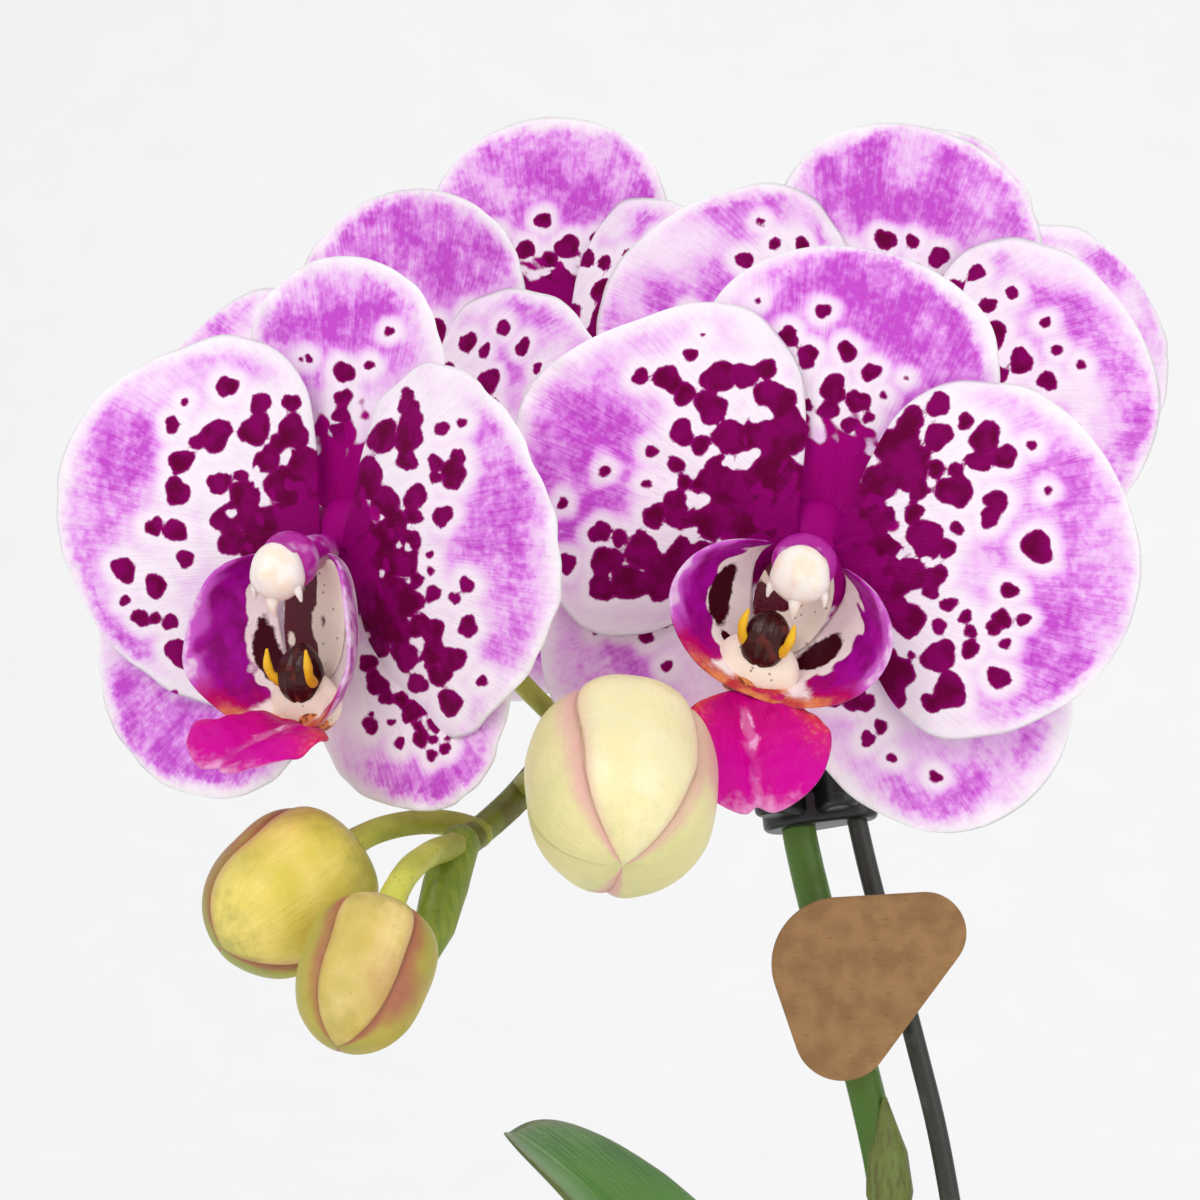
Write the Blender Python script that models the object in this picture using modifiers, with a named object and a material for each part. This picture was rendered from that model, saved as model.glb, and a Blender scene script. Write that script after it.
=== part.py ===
"""Potted moth orchid: a plain pot with bark, a leafy crown with roots, and one arching spray of blooms.

Metres, +Z up. The origin is the centre of the pot's underside, and the spray faces -Y.
Lengths in the tables below are in millimetres and are scaled by MM where they are used.
"""

import math
import random
from dataclasses import dataclass, replace

import bmesh
import bpy
from mathutils import Matrix, Vector

MM = 0.001
GAP = 0.3  # clearance between pieces that touch on the plant

# Pot and bark
POT_HEIGHT = 92.0
POT_BASE_RADIUS = 38.0
POT_SHOULDER_RADIUS = 48.5
POT_RIM_RADIUS = 52.0
POT_RIM_HEIGHT = 13.0
POT_WALL = 4.0
POT_RIM_WALL = 5.0
POT_FLOOR = 6.0
POT_STEPS = 34
POT_BEVEL = 1.4  # of the rim's edges and the foot's
BARK_BOTTOM = POT_FLOOR + 3.0
BARK_TOP = 79.0
CHIP_COUNT = 30
CHIP_SEED = 5
CHIP_TILT = 0.35  # radians
CHIP_LENGTHS, CHIP_WIDTHS, CHIP_HEIGHTS = (9.0, 15.0), (6.0, 9.0), (4.0, 6.5)
CHIP_RISE = (-1.2, 0.8)  # of a chip's middle over the bark's top
CHIP_RING_INNER, CHIP_RING_SPAN = 14.0, 24.0
CHIP_TURN = 2.4  # radians from one chip to the next, the golden angle

# Crown, roots and leaves: the crown stands a little behind the pot's centre
CROWN_X, CROWN_Y = 0.0, 4.0
CROWN_RADIUS = 7.0
CROWN_BOTTOM, CROWN_TOP = 70.0, 109.0
CROWN_TAPER = 0.7
SOCKET_DEPTH = 40.0  # of the hole for the crown, reaching over the bark
CROWN_SIDES = 14
ROOT_RADIUS = 2.1
LEAF_THICKNESS = 2.0
LEAF_RANK = 158.0  # compass direction of the left rank of leaves, counterclockwise from +X

# Flower spike and what holds it
SPIKE_RADIUS_BASE = 2.8
SPIKE_RADIUS_TIP = 1.7
PEDICEL_RADIUS = 1.25
SPIKE_POINTS, STAKE_POINTS, PEDICEL_POINTS, ROOT_POINTS = 40, 22, 7, 11
STAKE_RADIUS = 1.4
CLIP_HEIGHT = 9.0
CLIP_CENTRE = 252.0  # height of the clip's middle
CLIP_ROUND_SPIKE, CLIP_ROUND_STAKE = 4.6, 3.2  # radii of the clip's block round each
TAG_THICKNESS = 0.9
TAG_CENTRE = (-26.6, -6.4, 228.6)
TAG_DISCS = [(-3.5, 2.5, 9.0), (8.0, 6.7, 5.5), (-3.0, -6.7, 6.5)]  # x, y, radius of its corners
HOLDER_RADIUS, HOLDER_HEIGHT = 2.9, 6.0
HOLDER_PAD = (6.0, 7.0)  # width and height of the pad behind the tag
BRACT_SHARES = ((0.17, -1), (0.355, 1), (0.60, -1))  # where the peduncle's bracts sit, and their side
BRACT_LENGTH, FLOWER_BRACT_LENGTH = 13.0, 6.5

# One bloom, as if it faced the viewer: x to the viewer's right, y up, z out of the face
TEPAL_THICKNESS = 0.8
TEPAL_GRID, EAR_GRID, LOBE_GRID, LEAF_GRID = (5, 4), (6, 2), (5, 4), (10, 4)  # points along and across
TEPAL_START = 1.6  # how far out from the centre a tepal's narrow base begins
HUB_SIZE = (5.2, 6.0, 3.9)
HUB_CENTRE = (0.0, -1.0, -2.5)
PEDICEL_SEAT = -6.8  # where the pedicel ends behind the hub, along z


@dataclass(frozen=True)
class Tepal:
    """One sepal or petal.

    angle is clockwise from straight up, claw is how soon the base widens, taper how much wider the
    base half is than the tip half, pinch how far from an oval the outline is drawn in towards its
    ends, bend the forward tilt in degrees, cross and reflex how far the sides and the tip curl back
    or forward, depth the layer it starts in, and skew how far its tip is swept to its own right.
    """

    angle: float
    length: float
    half_width: float
    claw: float
    taper: float
    pinch: float
    bend: float
    cross: float
    reflex: float
    depth: float
    skew: float = 0.0


TEPALS = {
    "petal_left": Tepal(-78.0, 37.0, 21.0, 0.10, 0.20, 0.15, 12.0, -2.0, -2.5, -0.8),
    "petal_right": Tepal(81.0, 37.0, 21.0, 0.10, 0.20, 0.15, 12.0, -2.0, -2.5, -0.8),
    "sepal_top": Tepal(0.0, 35.5, 17.0, 0.20, -0.10, -0.05, -1.0, 1.5, 0.5, -2.6),
    "sepal_left": Tepal(-133.0, 36.0, 15.5, 0.18, 0.05, 0.0, 2.0, 1.0, -1.5, -2.6),
    "sepal_right": Tepal(133.0, 36.0, 15.5, 0.18, 0.05, 0.0, 2.0, 1.0, -1.5, -2.6),
}
TEPAL_CHANGES = {
    ("bloom_1", "petal_left"): {"angle": -70.0, "length": 38.0, "pinch": 0.30},
    ("bloom_1", "petal_right"): {"angle": 82.0, "length": 38.5, "pinch": 0.05},
    ("bloom_1", "sepal_top"): {"angle": 0.0, "half_width": 18.0, "pinch": -0.12},
    ("bloom_1", "sepal_right"): {"angle": 129.0, "length": 38.5, "pinch": -0.15},
    ("bloom_2", "petal_left"): {
        "angle": -82.0, "half_width": 21.8, "claw": 0.05, "taper": 0.45, "pinch": -0.10, "bend": 16.0,
    },
    ("bloom_2", "petal_right"): {
        "angle": 86.0, "half_width": 21.5, "claw": 0.06, "taper": 0.40, "pinch": 0.0, "bend": 16.0,
    },
    ("bloom_2", "sepal_top"): {"half_width": 14.8, "length": 34.0},
    ("bloom_2", "sepal_left"): {"angle": -131.0, "length": 40.0, "half_width": 17.0, "bend": 6.0},
    ("bloom_2", "sepal_right"): {
        "angle": 137.0, "length": 34.0, "half_width": 16.2, "pinch": 0.06, "bend": 11.0, "skew": 2.5,
    },
    ("bloom_3", "petal_left"): {"angle": -84.0},
    ("bloom_4", "sepal_top"): {"angle": 4.0, "half_width": 17.5},
    ("bloom_5", "sepal_top"): {"half_width": 17.5},
    ("bloom_4", "petal_right"): {"length": 36.0},
    ("bloom_5", "petal_right"): {"length": 34.5},
    ("bloom_5", "sepal_right"): {"angle": 127.0, "length": 32.0},
    ("bloom_6", "petal_left"): {"length": 34.0},
}

# centre, turned right, tipped up, rolled clockwise, size; the youngest open bloom is first
BLOOMS = {
    "bloom_1": ((-37.3, -79.6, 290.8), -8.0, 0.0, 10.0, 1.0),
    "bloom_2": ((-93.3, -77.6, 290.9), -33.0, 0.0, 2.0, 1.0),
    "bloom_3": ((-87.5, -37.0, 299.0), -28.0, 2.0, 2.0, 0.98),
    "bloom_4": ((-27.8, -38.0, 307.0), 6.0, 4.0, 9.0, 1.0),
    "bloom_5": ((-69.5, 20.0, 309.6), -16.0, 4.0, -2.0, 1.0),
    "bloom_6": ((-12.5, 31.0, 309.0), 32.0, 4.0, 4.0, 0.98),
}


@dataclass(frozen=True)
class Midlobe:
    """How a lip's middle lobe hangs: degrees below straight ahead, to the right, folded and twisted."""

    droop: float = 45.0
    swing: float = 0.0
    fold: float = 18.0
    twist: float = 0.0
    length: float = 15.0
    base: tuple = (0.0, -17.2)


MIDLOBES = {
    "bloom_1": Midlobe(58.0, 23.0, 19.0, 14.0, 14.5, (-3.4, -16.2)),
    "bloom_2": Midlobe(20.0, -14.0, 8.0, 12.0, 16.0, (1.8, -18.0)),
    "bloom_3": Midlobe(38.0, -6.0, 18.0, 8.0),
    "bloom_4": Midlobe(52.0, 5.0, 18.0, 0.0),
    "bloom_5": Midlobe(45.0, -8.0, 18.0, -6.0),
    "bloom_6": Midlobe(40.0, 6.0, 18.0, 6.0),
}
MIDLOBE_HALF_WIDTH = 8.8
MIDLOBE_SEAT = 8.2

# The lip's cup: in front view its rim and its seat are two C curves, mirrored for the other side
LIP_RIM = ((-0.8, -17.4), (15.0, -17.9), (18.0, -1.9), (5.0, 0.2))
LIP_SEAT = ((-0.8, -12.6), (7.0, -12.6), (9.0, -4.1), (4.5, -1.1))
LIP_SEAT_HEIGHT, LIP_RIM_HEIGHT, LIP_RIM_RISE = 3.6, 9.0, 2.6

SPIKE_THROUGH = [
    (-4.3, -3.5, 97.0),
    (-8.5, -7.5, 112.0),
    (-12.5, -7.5, 140.0),
    (-18.5, -5.5, 175.0),
    (-23.4, -2.7, 200.7),
    (-26.6, 0.3, 215.0),
    (-33.2, 4.0, 239.5),
    (-35.5, 6.5, 251.0),
    (-36.5, 10.0, 262.0),
    (-38.0, 12.5, 271.0),
    (-41.5, 10.0, 278.0),
    (-47.5, -2.0, 281.5),
    (-53.5, -17.0, 280.5),
    (-58.8, -32.0, 276.5),
    (-63.0, -46.0, 271.5),
    (-67.0, -60.0, 266.0),
    (-72.0, -74.0, 261.0),
    (-78.5, -84.5, 256.3),
]
STAKE_THROUGH = [
    (2.0, -9.0, 24.0),
    (0.5, -9.5, 80.0),
    (-3.5, -9.5, 120.0),
    (-10.0, -8.0, 165.0),
    (-15.4, -5.7, 201.3),
    (-19.6, -2.3, 220.1),
    (-25.5, 3.2, 242.0),
    (-29.5, 7.2, 260.5),
]
# share of the spike's length where each pedicel leaves, and its first push away from the spike
PEDICELS = {
    "bloom_6": (0.645, (4.0, 16.0, 2.0)),
    "bloom_5": (0.665, (-4.0, 15.0, 0.0)),
    "bloom_4": (0.725, (8.0, 0.0, 5.0)),
    "bloom_3": (0.760, (-8.0, 5.0, 3.0)),
    "bloom_1": (0.850, (9.0, -2.0, 4.0)),
    "bloom_2": (0.885, (-8.0, 3.0, 5.0)),
}
# base, tip, width, then as for a pedicel
BUDS = {
    "bud_large": ((-59.5, -91.5, 273.5), (-59.5, -113.5, 256.5), 22.8, 0.945, (0.0, -9.0, 1.0)),
    "bud_middle": ((-91.0, -85.0, 256.8), (-104.9, -95.4, 246.6), 18.0, 0.985, (-3.5, 5.0, 1.5)),
    "bud_small": ((-85.6, -100.9, 252.0), (-90.9, -111.1, 237.9), 15.0, 0.994, (-3.0, -7.0, 0.0)),
}

GREEN = (0.10, 0.22, 0.05, 1.0)
LEAF_GREEN = (0.07, 0.19, 0.03, 1.0)
LILAC = (0.72, 0.36, 0.70, 1.0)
MAGENTA = (0.62, 0.01, 0.24, 1.0)
CREAM = (0.90, 0.80, 0.72, 1.0)
BUD_YELLOW = (0.72, 0.62, 0.25, 1.0)
ROOT_SILVER = (0.45, 0.50, 0.36, 1.0)
BARK_BROWN = (0.16, 0.075, 0.035, 1.0)
POT_GREY = (0.55, 0.53, 0.50, 1.0)
BLACK = (0.012, 0.013, 0.012, 1.0)
KRAFT = (0.42, 0.22, 0.09, 1.0)


def clear_scene():
    for obj in list(bpy.data.objects):
        bpy.data.objects.remove(obj)


def new_collection(name):
    collection = bpy.data.collections.new(name)
    bpy.context.scene.collection.children.link(collection)
    return collection


def new_material(name, colour, roughness):
    material = bpy.data.materials.new(name)
    material.use_nodes = True
    shader = material.node_tree.nodes["Principled BSDF"]
    shader.inputs["Base Color"].default_value = colour
    shader.inputs["Roughness"].default_value = roughness
    return material


def object_from_bmesh(name, bm, collection):
    mesh = bpy.data.meshes.new(name)
    bm.to_mesh(mesh)
    bm.free()
    obj = bpy.data.objects.new(name, mesh)
    collection.objects.link(obj)
    return obj


def paint(obj, material):
    obj.data.materials.clear()
    obj.data.materials.append(material)
    return obj


def settled(obj):
    """The object's mesh as its modifiers leave it, put in the object's place."""
    bpy.context.view_layer.update()
    graph = bpy.context.evaluated_depsgraph_get()
    mesh = bpy.data.meshes.new_from_object(obj.evaluated_get(graph))
    obj.modifiers.clear()
    obj.data = mesh
    return obj


def combine(base, others, operation):
    """One Boolean of a collection of objects on base, applied, with the others removed."""
    helpers = bpy.data.collections.new(base.name + "_helpers")
    bpy.context.scene.collection.children.link(helpers)
    for other in others:
        for owner in list(other.users_collection):
            owner.objects.unlink(other)
        helpers.objects.link(other)
        other.hide_render = True
    boolean = base.modifiers.new("combine", "BOOLEAN")
    boolean.operation = operation
    boolean.operand_type = "COLLECTION"
    boolean.collection = helpers
    boolean.solver = "EXACT"
    settled(base)
    for other in others:
        bpy.data.objects.remove(other)
    bpy.data.collections.remove(helpers)
    return base


def smooth_path(through, count):
    """Evenly stepped points of a Catmull-Rom curve through the given points."""
    ends = [through[0], *through, through[-1]]
    points = [Vector(p) for p in ends]
    fine = []
    for a, b, c, d in zip(points, points[1:], points[2:], points[3:]):
        for step in range(24):
            t = step / 24
            fine.append(
                0.5 * (2 * b + (c - a) * t + (2 * a - 5 * b + 4 * c - d) * t**2
                       + (3 * b - a - 3 * c + d) * t**3)
            )
    fine.append(points[-1])
    lengths = [0.0]
    for a, b in zip(fine, fine[1:]):
        lengths.append(lengths[-1] + (b - a).length)
    path = []
    index = 0
    for k in range(count):
        wanted = lengths[-1] * k / (count - 1)
        while index < len(fine) - 2 and lengths[index + 1] < wanted:
            index += 1
        span = lengths[index + 1] - lengths[index]
        path.append(fine[index].lerp(fine[index + 1], (wanted - lengths[index]) / span if span else 0))
    return path


def point_along(path, share):
    """The point and direction at a share of a path that is stepped evenly."""
    place = share * (len(path) - 1)
    index = min(int(place), len(path) - 2)
    direction = (path[index + 1] - path[index]).normalized()
    return path[index].lerp(path[index + 1], place - index), direction


def at_height(path, height):
    """The point and direction of a path where it first comes nearest to a height."""
    share = min((k / 400 for k in range(401)), key=lambda s: abs(point_along(path, s)[0].z - height))
    return point_along(path, share)


def tube(name, path, radii, collection):
    """A closed tube along the path, in millimetres, as a mesh made from a bevelled curve."""
    curve = bpy.data.curves.new(name, "CURVE")
    curve.dimensions = "3D"
    curve.bevel_depth = MM
    curve.bevel_resolution = 1
    curve.use_fill_caps = True
    spline = curve.splines.new("POLY")
    spline.points.add(len(path) - 1)
    for point, place, radius in zip(spline.points, path, radii):
        point.co = (*(Vector(place) * MM), 1.0)
        point.radius = radius
    source = bpy.data.objects.new(name + "_curve", curve)
    collection.objects.link(source)
    bpy.context.view_layer.update()
    graph = bpy.context.evaluated_depsgraph_get()
    mesh = bpy.data.meshes.new_from_object(source.evaluated_get(graph))
    bpy.data.objects.remove(source)
    bm = bmesh.new()
    bm.from_mesh(mesh)
    bmesh.ops.remove_doubles(bm, verts=bm.verts, dist=1e-6)
    bmesh.ops.recalc_face_normals(bm, faces=bm.faces)
    bpy.data.meshes.remove(mesh)
    return object_from_bmesh(name, bm, collection)


def ellipsoid(name, centre, size, matrix, collection, segments, rings):
    bm = bmesh.new()
    bmesh.ops.create_uvsphere(bm, u_segments=segments, v_segments=rings, radius=1.0)
    for vert in bm.verts:
        place = Vector(a * b + c for a, b, c in zip(vert.co, size, centre))
        vert.co = matrix @ place * MM
    return object_from_bmesh(name, bm, collection)


def blade(name, point_at, matrix, thickness, collection, grid, square_base=False):
    """A thin closed blade: a grid bent by point_at(p, q), put in place, then thickened.

    p, q lie on the unit disc, or on a square for the base half of a blade with a square base.
    """
    along, across = grid
    bm = bmesh.new()
    bmesh.ops.create_grid(bm, x_segments=along, y_segments=across, size=1.0)
    for vert in bm.verts:
        u, v = vert.co.x, vert.co.y
        square = square_base and u < 0
        p = u if square else u * math.sqrt(1 - v * v / 2)
        q = v if square else v * math.sqrt(1 - u * u / 2)
        vert.co = matrix @ point_at(p, q) * MM
    bmesh.ops.triangulate(bm, faces=bm.faces)
    obj = object_from_bmesh(name, bm, collection)
    solidify = obj.modifiers.new("thickness", "SOLIDIFY")
    solidify.thickness = thickness * MM
    solidify.offset = 0.0
    return settled(obj)


def bloom_matrix(centre, turn, tip, roll, size):
    """From a bloom's own millimetres to the plant's: x right, y up and z out become world axes."""
    facing = Matrix(((1, 0, 0), (0, 0, -1), (0, 1, 0))).to_4x4()
    return (
        Matrix.Translation(centre)
        @ Matrix.Rotation(math.radians(turn), 4, "Z")
        @ Matrix.Rotation(math.radians(-tip), 4, "X")
        @ facing
        @ Matrix.Rotation(math.radians(-roll), 4, "Z")
        @ Matrix.Scale(size, 4)
    )


def tepal_surface(tepal, wave, phase):
    """A sepal or petal as a function of the unit disc, in its bloom's own millimetres."""
    turn = math.radians(tepal.angle)
    axis = Vector((math.sin(turn), math.cos(turn), 0))
    side = Vector((math.cos(turn), -math.sin(turn), 0))
    out = Vector((0, 0, 1))
    lean = math.radians(tepal.bend)

    def point_at(p, q):
        along = (p + 1) / 2
        widening = 1 - math.exp(-((along / tepal.claw) ** 1.3)) if along > 0 else 0.0
        fullness = (1 + tepal.taper * (0.45 - along)) * (1 - tepal.pinch * p * p)
        width = q * tepal.half_width * widening * fullness + tepal.skew * along**4
        reach = TEPAL_START + along * (tepal.length - TEPAL_START)
        edge = p * p + q * q
        lift = tepal.cross * q * q + tepal.reflex * along * along
        lift += wave * edge * edge * math.sin(3 * math.atan2(q, p) + phase)
        place = axis * (reach * math.cos(lean) - lift * math.sin(lean)) + side * width
        return place + out * (tepal.depth + reach * math.sin(lean) + lift * math.cos(lean))

    return point_at


def tepals_of(bloom, wobble):
    """The five tepals of a bloom, each with a small seeded turn and wave of its own."""
    made = {}
    for name, tepal in TEPALS.items():
        tepal = replace(tepal, **TEPAL_CHANGES.get((bloom, name), {}))
        tepal = replace(tepal, angle=tepal.angle + wobble.uniform(-1.5, 1.5))
        made[name] = tepal_surface(tepal, wobble.uniform(0.4, 1.0), wobble.uniform(0, math.tau))
    return made


def build_tepals(name, matrix, wobble, collection, material):
    hub = ellipsoid(name + "_tepals", HUB_CENTRE, HUB_SIZE, matrix, collection, 10, 6)
    pieces = []
    for part, surface in tepals_of(name, wobble).items():
        pieces.append(blade(part, surface, matrix, TEPAL_THICKNESS, collection, TEPAL_GRID))
    return paint(combine(hub, pieces, "UNION"), material)


def cubic(a, b, c, d, t):
    """A point of a cubic Bezier curve, number by number."""
    k = 1 - t
    return [w * k**3 + 3 * x * k * k * t + 3 * y * k * t * t + z * t**3 for w, x, y, z in zip(a, b, c, d)]


def side_lobe_surface(side):
    """An upright ear of the lip's cup: out from its seat first, then forward to its rim."""

    def point_at(p, q):
        t, climb = (p + 1) / 2, (q + 1) / 2
        rim, seat = cubic(*LIP_RIM, t), cubic(*LIP_SEAT, t)
        spread = climb**0.55
        x, y = (low + (high - low) * spread for low, high in zip(seat, rim))
        rise = LIP_RIM_HEIGHT + LIP_RIM_RISE * math.sin(math.pi * t) - LIP_SEAT_HEIGHT
        return Vector((side * x, y, LIP_SEAT_HEIGHT + rise * climb**1.4))

    return point_at


def midlobe_surface(lobe):
    """The lip's middle lobe: a folded plate, broad at its shoulders, that juts forwards and down."""
    droop, swing = math.radians(lobe.droop), math.radians(lobe.swing)
    ahead = Vector((math.sin(swing), -math.sin(droop) * math.cos(swing), math.cos(droop) * math.cos(swing)))
    face = Vector((0, math.cos(droop), math.sin(droop)))
    face = (face - ahead * face.dot(ahead)).normalized()
    turned = Matrix.Rotation(math.radians(-lobe.twist), 3, ahead)
    side = turned @ face.cross(ahead)
    face = turned @ face
    slope = math.tan(math.radians(lobe.fold))
    base = Vector((*lobe.base, MIDLOBE_SEAT))

    def point_at(p, q):
        t = (p + 1) / 2
        shoulder = 0.35 + 0.65 * (1 - math.exp(-((t / 0.08) ** 1.5)))
        width = q * MIDLOBE_HALF_WIDTH * shoulder * (1.08 - 0.45 * t)
        place = base + ahead * (t * lobe.length) + Vector((0, -1.6 * t * t, 0))
        return place + side * width + face * (slope * abs(width))

    return point_at


def build_lip(name, matrix, collection, material):
    claw_path = [(0.0, -6.0, 1.6), (0.0, -9.0, 2.4), (0.0, -12.0, 3.8), (0.0, -14.4, 6.2)]
    lip = tube(name + "_lip", [matrix @ Vector(p) for p in claw_path], (1.7, 1.9, 2.3, 2.3), collection)
    pieces = []
    for side in (-1, 1):
        ear = side_lobe_surface(side)
        pieces.append(blade("ear", ear, matrix, TEPAL_THICKNESS, collection, EAR_GRID, square_base=True))
    lobe = midlobe_surface(MIDLOBES[name])
    pieces.append(blade("midlobe", lobe, matrix, TEPAL_THICKNESS, collection, LOBE_GRID, square_base=True))
    joint_x, joint_y = MIDLOBES[name].base
    joint = (0.7 * joint_x, joint_y + 1.2, MIDLOBE_SEAT - 0.6)
    pieces.append(ellipsoid("joint", joint, (2.8, 1.8, 2.0), matrix, collection, 6, 5))
    pieces.append(ellipsoid("callus", (0.0, -11.4, 7.2), (2.9, 3.0, 2.6), matrix, collection, 6, 5))
    return paint(combine(lip, pieces, "UNION"), material)


def build_column(name, matrix, collection, material):
    body = [(0.0, -0.2, 1.9), (0.0, -0.5, 4.0), (0.0, -1.6, 7.0), (0.0, -2.8, 9.6)]
    column = tube(name + "_column", [matrix @ Vector(p) for p in body], (2.0, 2.2, 2.6, 2.6), collection)
    cap = ellipsoid("cap", (0.0, -3.2, 10.4), (3.4, 3.5, 2.7), matrix, collection, 8, 6)
    beak_path = [matrix @ Vector(p) for p in ((0, -4.5, 10.8), (0, -7.6, 11.2))]
    beak = tube("beak", beak_path, (1.3, 0.5), collection)
    return paint(combine(column, [cap, beak], "UNION"), material)


def build_blooms(collection, materials):
    for number, (name, place) in enumerate(BLOOMS.items()):
        matrix = bloom_matrix(*place)
        build_tepals(name, matrix, random.Random(100 + number), collection, materials["tepal"])
        build_lip(name, matrix, collection, materials["lip"])
        build_column(name, matrix, collection, materials["column"])


def bud_point(direction, width, length, base, tip, turn):
    """A point of a bud's skin: an egg, blunt at its base and pointed at its tip, with three seams."""
    axis = (tip - base).normalized()
    across = axis.cross(Vector((0, 0, 1))).normalized()
    up = across.cross(axis)
    along = (direction.z + 1) / 2
    angle = math.atan2(direction.y, direction.x) + turn
    blunt = 2.8 if direction.z < 0 else 2.0
    ring = max(0.0, 1 - abs(direction.z) ** blunt) ** 0.5 * (1.04 - 0.12 * along)
    ring *= 1 - 0.045 * (1 - abs(math.sin(1.5 * angle))) ** 3
    reach = length * (along + 0.05 * math.sin(math.pi * along))
    return base + axis * reach + (across * math.cos(angle) + up * math.sin(angle)) * ring * width / 2


def build_buds(collection, material):
    for number, (name, (base, tip, width, _, _)) in enumerate(BUDS.items()):
        base, tip = Vector(base), Vector(tip)
        bm = bmesh.new()
        bmesh.ops.create_uvsphere(bm, u_segments=15, v_segments=10, radius=1.0)
        for vert in bm.verts:
            vert.co = bud_point(vert.co, width, (tip - base).length, base, tip, 1.2 * number) * MM
        bmesh.ops.recalc_face_normals(bm, faces=bm.faces)
        paint(object_from_bmesh(name, bm, collection), material)


def spike_radius(share):
    return SPIKE_RADIUS_BASE + (SPIKE_RADIUS_TIP - SPIKE_RADIUS_BASE) * share**1.3


def pedicel_path(start, push, end, end_direction, count=PEDICEL_POINTS):
    """A stalk from the spike: out along push, then in along the direction that its flower or bud faces."""
    reach = (end - start).length
    a, b = start, start + push
    c, d = end - end_direction * 0.35 * reach, end
    return [Vector(cubic(a, b, c, d, k / (count - 1))) for k in range(count)]


def build_spike(collection, material):
    """The peduncle and rachis with their bracts, every pedicel, and the folded green tip, in one body."""
    path = smooth_path(SPIKE_THROUGH, SPIKE_POINTS)
    last = len(path) - 1
    spike = tube("flower_spike", path, [spike_radius(k / last) for k in range(last + 1)], collection)
    pieces = []
    for name, (share, push) in PEDICELS.items():
        start, _ = point_along(path, share)
        matrix = bloom_matrix(*BLOOMS[name])
        end = matrix @ Vector((0, -1.0, PEDICEL_SEAT))
        facing = (matrix.to_3x3() @ Vector((0, 0, 1))).normalized()
        stalk = pedicel_path(start, Vector(push), end, facing)
        pieces.append(tube("pedicel", stalk, [PEDICEL_RADIUS] * len(stalk), collection))
        pieces.append(bract(path, share, Vector(push), FLOWER_BRACT_LENGTH, collection))
    for base, tip, _, share, push in BUDS.values():
        start, _ = point_along(path, share)
        facing = (Vector(tip) - Vector(base)).normalized()
        stalk = pedicel_path(start, Vector(push), Vector(base) - facing * GAP, facing)
        pieces.append(tube("pedicel", stalk, [PEDICEL_RADIUS * 1.2] * len(stalk), collection))
    for share, side in BRACT_SHARES:
        pieces.append(bract(path, share, Vector((side * 2.0, -1.5, 6.0)), BRACT_LENGTH, collection))
    tip = [(-78.2, -84.2, 257.0), (-79.8, -86.6, 252.5), (-81.0, -89.2, 248.0), (-82.2, -92.2, 243.6)]
    pieces.append(tube("spike_tip", [Vector(p) for p in tip], (2.3, 2.7, 2.4, 0.9), collection))
    return paint(combine(spike, pieces, "UNION"), material)


def bract(path, share, towards, length, collection):
    """A small sheathing scale that clasps the spike at a node and ends in a point."""
    start, direction = point_along(path, share)
    lean = (direction * 0.8 + towards.normalized() * 0.35).normalized()
    radius = spike_radius(share)
    places = [start - direction * 1.5, start + lean * 0.45 * length, start + lean * length]
    return tube("bract", places, (radius + 0.7, radius + 0.3, 0.5), collection)


def build_pot(collection, material):
    """A turned pot: foot, flared wall, upright rim and a plain flat underside."""
    inner_base, inner_rim = POT_BASE_RADIUS - POT_WALL, POT_RIM_RADIUS - POT_RIM_WALL
    rim_foot = POT_HEIGHT - POT_RIM_HEIGHT
    profile = [
        (0.0, POT_FLOOR),
        (inner_base - 3.0, POT_FLOOR),
        (inner_base, BARK_BOTTOM),
        (inner_rim, rim_foot),
        (inner_rim, POT_HEIGHT - POT_BEVEL),
        (inner_rim + POT_BEVEL, POT_HEIGHT),
        (POT_RIM_RADIUS - POT_BEVEL, POT_HEIGHT),
        (POT_RIM_RADIUS, POT_HEIGHT - POT_BEVEL),
        (POT_RIM_RADIUS, rim_foot + POT_BEVEL),
        (POT_SHOULDER_RADIUS + 1.0, rim_foot),
        (POT_SHOULDER_RADIUS, rim_foot - 2.0),
        (POT_BASE_RADIUS, POT_BEVEL),
        (POT_BASE_RADIUS - POT_BEVEL, 0.0),
        (0.0, 0.0),
    ]
    bm = bmesh.new()
    verts = [bm.verts.new((radius * MM, 0, height * MM)) for radius, height in profile]
    for a, b in zip(verts, verts[1:]):
        bm.edges.new((a, b))
    pot = object_from_bmesh("pot", bm, collection)
    screw = pot.modifiers.new("turn", "SCREW")
    screw.steps = screw.render_steps = POT_STEPS
    screw.use_merge_vertices = True
    screw.merge_threshold = 0.00005
    screw.use_normal_calculate = True
    settled(pot)
    bm = bmesh.new()
    bm.from_mesh(pot.data)
    bmesh.ops.remove_doubles(bm, verts=bm.verts, dist=1e-6)
    bmesh.ops.recalc_face_normals(bm, faces=bm.faces)
    bm.to_mesh(pot.data)
    bm.free()
    pot.data.set_sharp_from_angle(angle=math.radians(40))
    return paint(pot, material)


def pot_inner_radius(height):
    """Radius of the pot's inner wall at a height between its floor and the foot of the rim."""
    high = POT_HEIGHT - POT_RIM_HEIGHT
    inner_base, inner_rim = POT_BASE_RADIUS - POT_WALL, POT_RIM_RADIUS - POT_RIM_WALL
    return inner_base + (inner_rim - inner_base) * (height - BARK_BOTTOM) / (high - BARK_BOTTOM)


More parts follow.
